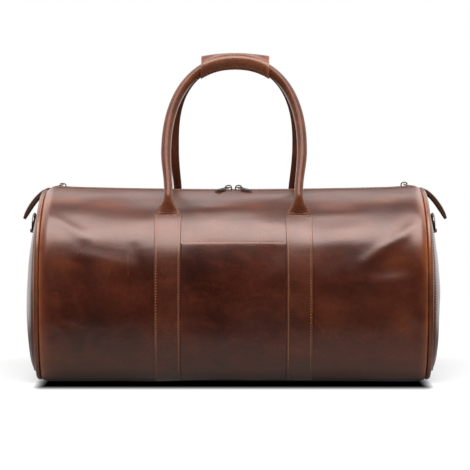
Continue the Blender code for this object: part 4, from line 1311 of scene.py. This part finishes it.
def wrap():
    front = wrap_sheet("wrap_front", WRAP_FRONT_SHARES, True)
    place(front, "front_handle_body", "trim_leather", "handle_wrap")
    lip = []
    for x in np.linspace(-WRAP_LENGTH / 2, WRAP_LENGTH / 2, 50):
        section = wrap_section(x, 2 * WRAP_LEATHER + GAP + SEAM_WIDTH / 2)
        lip.append((x, *section[int(lip_share(x) * len(section))]))
    edge = loft_object("wrap_lip", tube_rings(lean(lip), SEAM_WIDTH * 0.6), SEAM_LOOK)
    place(edge, "front_handle_body", "trim_leather")
    flap = wrap_sheet("wrap_flap", WRAP_FLAP_SHARES, False)
    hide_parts("handle_wrap_flap")
    top = HANDLE_TOP_HEIGHT + HANDLE_RADIUS
    start, end = ((0, y, top + rise) for y, rise in FLAP_BEND)
    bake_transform(flap)
    rows_of = {"front": ((0.08, 0.33), "front_handle_body"), "flap": ((0.92, 0.66), "wrap_flap_body")}
    for name, (shares, body) in rows_of.items():
        rows = []
        for end in (-1, 1):
            x = end * (WRAP_LENGTH / 2 - WRAP_STITCH_INSET)
            section = wrap_section(x, WRAP_LEATHER)
            line = section[(np.linspace(*shares, 70) * len(section)).astype(int) % len(section)]
            ups = [(0, *up) for up in line - section.mean(axis=0)]
            rows.append((lean([(x, *p) for p in line]), ups))
        seam = stitch_rows(
            f"wrap_stitching_{name}", rows, DARK_THREAD, pitch=0.0028, length=0.0020, width=0.0008
        )
        place(seam, body, "trim_leather")


# Zips
TOOTH_PITCH = 0.0024
TOOTH_WIDTH = 0.0011
TOOTH_OVERLAP = 0.0007
TOOTH_PROFILE = np.array([(-0.5, 0.0), (-0.5, 0.75), (-0.3, 1.0), (0.3, 1.0), (0.5, 0.75), (0.5, 0.0)])
# How far in from the tape's edge each section of a tooth is, and its swell
TOOTH_SECTIONS = ((0.0, 0.85), (0.62, 0.85), (0.80, 1.1), (0.95, 1.0), (1.0, 0.7))
ZIP_REACH = HALF_LENGTH - ZIP_END_MARGIN
TAPE_CORD = 0.0006


def teeth(name, at, node):
    """The two rows of teeth of a closed zip, which mesh in its middle."""
    u, v = TOOTH_PROFILE.T
    verts, faces = [], []
    for row, sign in ((0, -1), (1, 1)):
        for k in range(int(2 * ZIP_REACH / TOOTH_PITCH)):
            x = -ZIP_REACH + (k + 0.5 + 0.5 * row) * TOOTH_PITCH
            if x > ZIP_REACH:
                continue
            first, rows, columns = len(verts), len(TOOTH_SECTIONS), len(TOOTH_PROFILE)
            for inward, grow in TOOTH_SECTIONS:
                across = at + sign * (CHAIN_WIDTH / 2 - inward * (CHAIN_WIDTH / 2 + TOOTH_OVERLAP))
                out = CHAIN_TOP - CHAIN_HEIGHT * (1 - v) - (1 - grow) * 0.0003
                verts.extend(barrel(x + u * TOOTH_WIDTH * grow, across, out, soft=False))
            faces += grid_faces(rows, columns, wrap_columns=True, first=first)
            faces.append(tuple(range(first, first + columns))[::-1])
            faces.append(tuple(range(first + (rows - 1) * columns, first + rows * columns)))
    item = new_object(name, verts, faces, ZIP_METAL, sharp=30)
    place(item, BODY, "zip_metal", node)


def tape(name, at, sign, node):
    places = np.linspace(at + sign * (CHAIN_WIDTH / 2 - 0.001), at + sign * TAPE_REACH, 10)
    x, at_grid = np.meshgrid(x_columns(-ZIP_REACH, ZIP_REACH, 0.004), places)
    cord = TAPE_CORD * bell(np.abs(at_grid - at) - CHAIN_WIDTH / 2 + 0.0004, TAPE_CORD)
    item = grid_object(name, barrel(x, at_grid, -(LEATHER + 2 * GAP) + cord, soft=False), TAPE_CLOTH)
    face_from_axis(item)
    thicken(item, TAPE)
    place(item, BODY, "zip_tape", node)


def zips():
    for name, at in (("main", MAIN_ZIP_PLACE), ("garment", GARMENT_ZIP_PLACE)):
        teeth(f"{name}_teeth", at, f"{name}_zip_chain")
        for face, sign in FACES:
            tape(f"{name}_tape_{face}", at, sign, f"{name}_zip_tape_{face}")


# Sliders
# Heights of a slider's top plate and the share that its outline keeps there
PLATE_RINGS = (
    (-LEATHER, 0.97), (CHAIN_TOP, 1.0),
    (PLATE_TOP - 0.0005, 1.0), (PLATE_TOP - 0.0001, 0.95), (PLATE_TOP + 0.0001, 0.80),
)
PLATE_NARROWING = 0.20
BAIL_SUNK = 0.0004
BAIL_STEPS = 16
PULL_BEVEL = 0.00028


def squared(value, power):
    """A sine or cosine, pushed towards a rounded square."""
    return math.copysign(abs(value) ** power, value)


def slider_frame(x, at):
    origin = barrel(x, at, 0.0, soft=False)
    up = barrel(x, at, LEATHER, soft=False) - origin
    tilt = math.atan2(-up[1], up[2])
    return Vector(origin), Matrix.Rotation(tilt, 3, "X")


def slider(name, x, at, narrow):
    """A zip slider: a wedge-shaped top plate, its two side walls and an arched bail."""
    body = f"{name}_body"
    origin, turn = slider_frame(x, at)
    half = SLIDER_LENGTH / 2
    side = CHAIN_WIDTH / 2 + GAP + SLIDER_WALL
    outline = []
    for t in np.linspace(-1, 1, 13):
        wide = side
        if t * narrow >= -0.1:
            wide = side * (1.0 - PLATE_NARROWING * smoothstep(0, 1, t * narrow + 0.1))
        outline.append((t * half, wide * (1 - 0.16 * abs(t) ** 10)))
    loop = outline + [(u, -v) for u, v in reversed(outline)]
    rings = []
    for z, shrink in PLATE_RINGS:
        ring = [Vector((u * (1 - (1 - shrink) * 0.6), v * shrink, z)) for u, v in loop]
        rings.append([tuple(origin + turn @ p) for p in ring])
    plate = loft_object(f"{name}_plate", rings, ZIP_METAL, sharp=30)
    place(plate, body, "zip_metal", name)
    reach = (BAIL_SPAN / 2 - BAIL_WIRE / 2) * BAIL_STRETCH
    rise = BAIL_RISE * (HIDDEN_BAIL_SWELL if name == "end_slider_left" else BAIL_SWELL)
    rise = rise - BAIL_WIRE / 2 + BAIL_SUNK
    path = []
    for k in range(BAIL_STEPS + 1):
        a = math.pi * k / BAIL_STEPS
        up = PLATE_TOP - BAIL_SUNK + rise * math.sin(a) ** 0.7
        path.append((-reach * squared(math.cos(a), 0.7), 0, up))
    path = np.array(path)
    rings = []
    for middle, way in zip(path, unit(np.gradient(path, axis=0))):
        normal = np.array([-way[2], 0, way[0]])
        ring = []
        for a in round_turns(10):
            u = squared(math.cos(a), 0.6) * BAIL_STRETCH * BAIL_WIRE / 2
            v = squared(math.sin(a), 0.6) * BAIL_WIDTH * 0.85
            ring.append(tuple(origin + turn @ Vector(middle + normal * u + np.array([0, v, 0]))))
        rings.append(ring)
    bail = loft_object(f"{name}_bail", rings, ZIP_METAL)
    place(bail, body, "zip_metal")


def hang(piece):
    """Gives a piece that hangs over the bag's end its own copy of its mesh."""
    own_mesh(piece)


def link(side_name, hinge, axes, reach):
    """The metal link that hangs over the shoulder from the slider's bail to the leather puller."""
    half, bar = LINK_WIDTH / 2 - LINK_BAR / 2, LINK_BAR / 2
    path = []
    corners = ((reach, half, 0), (0, half, 90), (0, -half, 180), (reach, -half, 270))
    for u, v, first in corners:
        sign_u, sign_v = (1 if u else -1), math.copysign(1, v)
        for k in range(4):
            a = math.radians(first + 30 * k)
            path.append((u - sign_u * bar + bar * math.cos(a), v - sign_v * bar + bar * math.sin(a)))
    path = np.array(path)
    rings = []
    for middle, way in zip(path, unit(np.roll(path, -1, 0) - np.roll(path, 1, 0))):
        ring = []
        for a in round_turns(10):
            u, v = middle + np.array([way[1], -way[0]]) * bar * math.cos(a)
            ring.append(tuple(hinge + axes @ Vector((u, v, LINK_TALL / 2 * math.sin(a)))))
        rings.append(ring)
    item = loop_object(f"end_link_{side_name}", rings, ZIP_METAL)
    place(item, f"end_puller_{side_name}_body", "zip_metal", f"end_puller_{side_name}_link")
    hang(item)


PULLER_STEPS = 34
PULLER_SIDES = 20
PULLER_STITCH_INSET = 0.0016


def puller_section(t):
    """At a share `t` down the puller: its middle, the way square to it, half its thickness and width."""
    bend = Vector((PULLER_REACH * PULLER_BEND_SHARES[0], 0, -PULLER_HANG * PULLER_BEND_SHARES[1]))
    end = Vector((PULLER_REACH, 0, -PULLER_HANG))
    middle = 2 * t * (1 - t) * bend + t * t * end
    ahead = (2 * (1 - t) * bend + 2 * t * (end - bend)).normalized()
    swell = PULLER_PLUMP * PULLER_THICKNESS / 2 * (1 - PULLER_TAPER_SHARE * (2 * t - 1) ** 4)
    wide = PULLER_WIDTH / 2 * (1 - 0.22 * float(smoothstep(0.55, 1.0, t)))
    return middle, Vector((-ahead.z, 0, ahead.x)), swell, wide


def puller(side, side_name):
    """The leather puller, two layers folded over the link's far bar and sewn together."""
    at, turn = slider_frame(side * END_SLIDER_OFFSET, GARMENT_ZIP_PLACE)
    hinge = at + turn @ Vector((0, 0, PLATE_TOP + HINGE_RISE))
    level = Matrix.Rotation(0 if side > 0 else math.pi, 3, "Z")
    axes = level @ Matrix.Rotation(math.radians(LINK_HANG[side]), 3, "Y")
    reach = LINK_LENGTH + (RIGHT_LINK_EXTRA if side > 0 else 0)
    start = hinge + axes @ Vector((reach, 0, 0))
    link(side_name, hinge, axes, reach)
    eye = LINK_BAR / math.sqrt(2) + GAP + PULLER_EYE_WALL
    turns = round_turns(PULLER_SIDES) + math.pi / PULLER_SIDES
    rings = []
    for i in range(PULLER_STEPS + 1):
        t = i / PULLER_STEPS
        middle, square, swell, wide = puller_section(t)
        if t < 0.10:
            swell = max(swell, eye * math.sqrt(max(0.05, 1 - ((t - 0.06) / 0.09) ** 2)))
        wide = wide * (1 if t < 0.97 else 0.9)
        ring = []
        for a in turns:
            y, u = squared(math.cos(a), 0.35) * wide, squared(math.sin(a), 0.6) * swell
            ring.append(tuple(start + level @ (middle + square * u + Vector((0, y, 0)))))
        rings.append(ring)
    item = loft_object(f"puller_leather_{side_name}", rings, PULLER_LOOK)
    attribute(item, "wear", np.tile(0.35 * (np.abs(np.cos(turns)) > 0.9), len(rings)))
    rows = []
    for edge in (-1, 1):
        line, ups = [], []
        for i in range(6, PULLER_STEPS - 1):
            middle, square, swell, wide = puller_section(i / PULLER_STEPS)
            aside = Vector((0, edge * (wide - PULLER_STITCH_INSET), 0))
            line.append(tuple(start + level @ (middle + square * swell * 0.97 + aside)))
            ups.append(tuple(level @ square))
        rows.append((line, ups))
    seams = stitch_rows(f"puller_stitching_{side_name}", rows, THREAD, pitch=0.0026, length=0.0019)
    for piece in (item, seams):
        place(piece, f"end_puller_{side_name}_body", "trim_leather")
        hang(piece)
    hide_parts(f"end_puller_{side_name}_leather")


def sliders():
    for side_name, side in SIDES:
        slider(f"main_slider_{side_name}", side * MAIN_SLIDER_OFFSET, MAIN_ZIP_PLACE, -side)
        slider(f"end_slider_{side_name}", side * END_SLIDER_OFFSET, GARMENT_ZIP_PLACE, side)
        bevel(dress(f"main_pull_{side_name}", ZIP_METAL), PULL_BEVEL)
        puller(side, side_name)


def dress(node, material):
    """A CAD node that keeps its shape and gets a better finish."""
    item = frame["nodes"][node]
    item.data.materials.clear()
    item.data.materials.append(material)
    return item


# D-rings
CHAPE_STITCH_INSET = 0.0030
CHAPE_STITCH_TOP = 0.0085


def ring_centre(side):
    stand = 2 * GAP + CHAPE_LEATHER + RING_WIRE / 2
    return Vector((side * (on_dome_middle(RING_BAR_HEIGHT) + stand), 0, RING_BAR_HEIGHT))


def d_ring(side, side_name):
    half = (RING_WIDTH - RING_WIRE) / 2
    top = RING_RISE - RING_WIRE
    corner = RING_WIRE / 2
    straight = top * RING_STRAIGHT_SHARE
    points = [(0, y, 0) for y in np.linspace(-half + corner, half - corner, 12)]
    bend = [(0, half - corner * (1 - math.sin(a)), corner * (1 - math.cos(a))) for a in (0.5, 1.0)]
    bend.append((0, half, corner))
    points += bend
    for a in np.linspace(0, math.pi, 41):
        points.append((0, half * math.cos(a), straight + (top - straight) * math.sin(a)))
    points += [(0, -y, z) for _, y, z in reversed(bend)]
    turn = Matrix.Rotation(-side * math.radians(RING_LEAN), 3, "Y")
    centre = ring_centre(side)
    path = np.array([tuple(centre + turn @ Vector(p)) for p in points])
    rings = loop_rings(path, np.array(turn @ Vector((1, 0, 0))), [RING_WIRE / 2] * len(path), 14)
    item = loop_object(f"ring_metal_{side_name}", rings, RING_METAL)
    place(item, f"d_ring_{side_name}_body", "ring_metal", f"d_ring_{side_name}")


def chape(side, side_name):
    """The leather folded round the ring's bar and sewn to the end panel below it."""
    bar = ring_centre(1)
    loop = RING_WIRE / 2 + GAP + CHAPE_LEATHER / 2
    steps = 14
    heights = [RING_BAR_HEIGHT - CHAPE_DROP * (1 - i / steps) for i in range(steps)]
    path = [(on_dome_middle(z) + GAP + CHAPE_LEATHER / 2, z) for z in heights]
    first, last = CHAPE_LOOP_TURNS
    for i in range(25):
        a = math.radians(first + (last - first) * i / 24)
        path.append((bar.x + loop * math.cos(a), bar.z + loop * math.sin(a)))
    outer = 2 * GAP + 3 * CHAPE_LEATHER / 2
    path += [(on_dome_middle(z) + outer, z) for z in reversed(heights)]
    ys = np.linspace(-CHAPE_WIDTH / 2, CHAPE_WIDTH / 2, 13)
    points = np.array([[(side * x, y, z) for y in ys] for x, z in path])
    item = grid_object(f"chape_{side_name}", points, STRAP)
    attribute(item, "wear", np.tile(0.6 * bell(CHAPE_WIDTH / 2 - np.abs(ys), 0.0018), len(path)))
    thicken(item, CHAPE_LEATHER, 0.0)
    bevel(item, 0.0004)
    place(item, BODY, "trim_leather", f"d_ring_tab_{side_name}")
    low = RING_BAR_HEIGHT - CHAPE_DROP + CHAPE_STITCH_INSET
    high = RING_BAR_HEIGHT - CHAPE_STITCH_TOP
    reach = CHAPE_WIDTH / 2 - CHAPE_STITCH_INSET
    corners = [(-reach, high), (-reach, low), (reach, low), (reach, high), (-reach, high)]
    line = []
    for (y0, z0), (y1, z1) in zip(corners, corners[1:]):
        for t in np.linspace(0, 1, 14)[:-1]:
            y, z = y0 + (y1 - y0) * t, z0 + (z1 - z0) * t
            line.append((side * (on_dome_middle(z) + outer + CHAPE_LEATHER / 2 + 0.0001), y, z))
    ups = [(side * 1.0, 0, 0)] * len(line)
    seam = stitch_rows(f"chape_stitching_{side_name}", [(line, ups)], THREAD, pitch=0.0028)
    place(seam, BODY, "trim_leather")


# Inside
LINING_PITCH = 0.012
# Share of the snap's radius, and how far below the flap: out of the leather, over the cap, into its dimple
SNAP_RINGS = ((1.0, -0.0006), (1.0, 0.0001), (0.92, 0.0004), (0.55, 0.0005), (0.45, 0.0003), (0.12, 0.0003))


def inside():
    middle = (MAIN_ZIP_PLACE + GARMENT_ZIP_PLACE) / 2
    first = middle + LINING_MOUTH / 2
    places = x_columns(first, first - LINING_MOUTH + 2 * HALF_GIRTH, LINING_PITCH)
    x, at = np.meshgrid(x_columns(-ZIP_REACH, ZIP_REACH, LINING_PITCH), places)
    item = grid_object("lining_cloth", barrel(x, at, -LINING_PLACE, soft=False), LINING_CLOTH)
    face_from_axis(item)
    thicken(item, LINING)
    place(item, BODY, "lining_cloth", "lining")
    dress("base_board", BOARD)
    for side_name, side in SIDES:
        snap(side, side_name)


def snap(side, side_name):
    """The low cap of a press stud, sunk into the flap."""
    x = side * SNAP_SPACING / 2
    height = wrap_section(x, WRAP_LEATHER)[:, 1].min()
    rings = []
    for share, drop in SNAP_RINGS:
        radius = SNAP_DIAMETER / 2 * share
        ring = [(x + radius * math.cos(a), radius * math.sin(a), height - drop) for a in round_turns(28)]
        rings.append(ring)
    item = loft_object(f"stud_{side_name}", lean(rings), ZIP_METAL)
    place(item, "wrap_flap_body", "zip_metal", f"wrap_snap_{side_name}")


# Stage
def camera():
    data = bpy.data.cameras.new("camera")
    data.sensor_width = SENSOR
    data.sensor_fit = "HORIZONTAL"
    data.lens = SENSOR * FOCAL_PIXELS / PHOTO_SIZE
    item = bpy.data.objects.new("camera", data)
    item.location = (CAMERA_ASIDE, -CAMERA_DISTANCE, CAMERA_HEIGHT)
    item.rotation_euler = (math.radians(90 - CAMERA_PITCH), 0, 0)
    bpy.context.scene.collection.objects.link(item)
    bpy.context.scene.camera = item


SOFTBOX_SIZE = (1.8, 1.05)
SOFTBOX_BRIGHTNESS = 7.5
SOFTBOX_ELEVATION = 62.5
SOFTBOX_DISTANCE = 1.7
SOFTBOX_TARGET = Vector((0, 0, 0.15))


def softbox():
    """The one lamp, over the front of the bag and turned to it."""
    data = bpy.data.lights.new("front_softbox", "AREA")
    data.shape = "RECTANGLE"
    data.size, data.size_y = SOFTBOX_SIZE
    data.energy = SOFTBOX_BRIGHTNESS * math.pi * SOFTBOX_SIZE[0] * SOFTBOX_SIZE[1]
    item = bpy.data.objects.new("front_softbox", data)
    rise = math.radians(SOFTBOX_ELEVATION)
    way = Vector((0, -math.cos(rise), math.sin(rise)))
    item.location = SOFTBOX_TARGET + way * SOFTBOX_DISTANCE
    item.rotation_euler = (-way).to_track_quat("-Z", "Y").to_euler()
    bpy.context.scene.collection.objects.link(item)


# The studio as the leather mirrors it: brightness of its parts, and where they begin and are full
FILL = 0.16
FRONT_GLOSS = 0.015
BACKDROP_GLOSS = 0.30
PANEL_GLOSS = 1.9
ZENITH_GLOSS = 0.45
SIDE_GLOSS = 1.1
BEHIND_FROM = (-0.45, 0.05)
PANEL_FROM = (0.40, 0.78)
ZENITH_FROM = (0.87, 0.97)
SIDES_FROM = (0.12, 0.30)


def world():
    """White to the camera; in the gloss dark in front, pale behind, with panels above and at the sides."""
    made = bpy.data.worlds.new("studio")
    bpy.context.scene.world = made
    made.use_nodes = True
    made.node_tree.nodes.clear()
    sky = Nodes(made.node_tree, "Generated")
    rays = sky.add("ShaderNodeLightPath").outputs
    behind = sky.range(sky.axis("Y"), *BEHIND_FROM, smooth=True)
    high = sky.range(sky.axis("Z"), *PANEL_FROM, smooth=True)
    zenith = sky.range(sky.axis("Z"), *ZENITH_FROM, smooth=True)
    aside = sky.range(sky.math("ABSOLUTE", sky.axis("X")), *SIDES_FROM, smooth=True)
    gloss = sky.times(high, PANEL_GLOSS - BACKDROP_GLOSS)
    gloss = sky.plus(gloss, sky.times(zenith, ZENITH_GLOSS - PANEL_GLOSS))
    gloss = sky.plus(sky.plus(gloss, BACKDROP_GLOSS), sky.times(aside, SIDE_GLOSS))
    gloss = sky.plus(sky.times(behind, gloss), FRONT_GLOSS)
    is_gloss = rays["Is Glossy Ray"]
    strength = sky.plus(sky.times(is_gloss, gloss), sky.times(sky.math("SUBTRACT", 1.0, is_gloss), FILL))
    white = (1.0, 1.0, 1.0, 1.0)
    fill = sky.add("ShaderNodeBackground", Color=white, Strength=strength).outputs[0]
    backdrop = sky.add("ShaderNodeBackground", Color=white, Strength=1.0).outputs[0]
    seen = sky.math("MAXIMUM", rays["Is Camera Ray"], rays["Is Transmission Ray"])
    sky.add("ShaderNodeOutputWorld", Surface=sky.join("ShaderNodeMixShader", seen, fill, backdrop))


FLOOR_COLOUR = (0.42, 0.42, 0.42)
FLOOR_LIFT = 0.62
FAR_FLOOR = (0.30, 1.10)
# The painted contact shadow under the bag: half its size, how fast it fades along each axis, and where it is
# gone
PAINTED_SHADOW_HALF = (HALF_LENGTH - 0.008, 0.128, 1.0)
PAINTED_SHADOW_STRETCH = (2.4, 1.0, 1.0)
PAINTED_SHADOW_FADE = 0.040
# The table top as the leather mirrors it: the bag's own footing, and distances from it
BASE_HALF = (HALF_LENGTH - 0.012, HALF_FLAT, 1.0)
TABLE_BOUNCE = (0.85, 0.80, 0.76)
TABLE_GLOSS = 0.56
TABLE_RISE = (0.010, 0.045)
TABLE_FADE = (0.07, 0.42)
BACK_TABLE = (0.15, 0.70)
SIDE_TABLE = (0.40, 0.70)
FLOOR_REACH = 9.0


def floor():
    """A pale floor that keeps the shadow, darkened further near the bag by a painted contact shadow, white to
    the camera, and a table top in the leather's gloss.
    """
    look = Look("floor_look")
    tree = look.tree
    tree.nodes.remove(look.shader)
    output = next(n for n in tree.nodes if n.type == "OUTPUT_MATERIAL")
    rays = look.add("ShaderNodeLightPath").outputs

    def outside(half, stretch=(1.0, 1.0, 1.0)):
        """How far a point of the floor is from a box in its middle."""
        past = look.vector("SUBTRACT", look.vector("ABSOLUTE", look.spot), half)
        past = look.vector("MAXIMUM", past, (0.0, 0.0, 0.0))
        return look.vector("LENGTH", look.vector("MULTIPLY", past, stretch), output=1)

    def shine(strength):
        return look.add("ShaderNodeEmission", Color=(1.0, 1.0, 1.0, 1.0), Strength=strength).outputs[0]

    def matt(colour):
        # Painted contact shadow: the floor's colour goes to black near the bag
        shaded = look.mix(clear_of_painted_shadow, (0.0, 0.0, 0.0), colour)
        return look.add("ShaderNodeBsdfDiffuse", Color=shaded, Roughness=1.0).outputs[0]

    # Painted contact shadow: 0 under the bag, rising to 1 clear of it; it darkens the floor's colour and its
    # white lift to the camera
    from_bag, from_base = outside(PAINTED_SHADOW_HALF, PAINTED_SHADOW_STRETCH), outside(BASE_HALF)
    clear_of_painted_shadow = look.range(from_bag, 0.0, PAINTED_SHADOW_FADE)
    clear_of_painted_shadow = look.times(clear_of_painted_shadow, clear_of_painted_shadow)
    lit = look.join("ShaderNodeAddShader", matt(FLOOR_COLOUR), shine(look.times(clear_of_painted_shadow, FLOOR_LIFT)))
    to_camera = look.join("ShaderNodeMixShader", look.range(from_bag, *FAR_FLOOR), lit, shine(1.0))
    table = look.range(from_base, *TABLE_FADE, TABLE_GLOSS, 0.0)
    table = look.times(look.range(from_base, *TABLE_RISE), table)
    beyond = look.times(look.range(look.axis("Y"), *BACK_TABLE), BACKDROP_GLOSS + SIDE_GLOSS)
    beyond = look.times(beyond, look.range(look.math("ABSOLUTE", look.axis("X")), *SIDE_TABLE))
    in_gloss = shine(look.math("MAXIMUM", table, beyond))
    other = look.join("ShaderNodeMixShader", rays["Is Glossy Ray"], matt(TABLE_BOUNCE), in_gloss)
    surface = look.join("ShaderNodeMixShader", rays["Is Camera Ray"], other, to_camera)
    look.give(output.inputs["Surface"], surface)
    corners = [(x * FLOOR_REACH, y * FLOOR_REACH, 0) for x, y in ((-1, -1), (1, -1), (1, 1), (-1, 1))]
    new_object("floor", corners, [(0, 1, 2, 3)], look.material, smooth=False)


# The whole
hull()
for side_name, side in SIDES:
    end_panel(side, side_name)
    piping(side, side_name)
    d_ring(side, side_name)
    chape(side, side_name)
straps()
pocket()
for face, sign in FACES:
    handle(sign, face)
wrap()
zips()
sliders()
inside()
camera()
world()
floor()
softbox()
bpy.context.scene.view_settings.view_transform = "Standard"
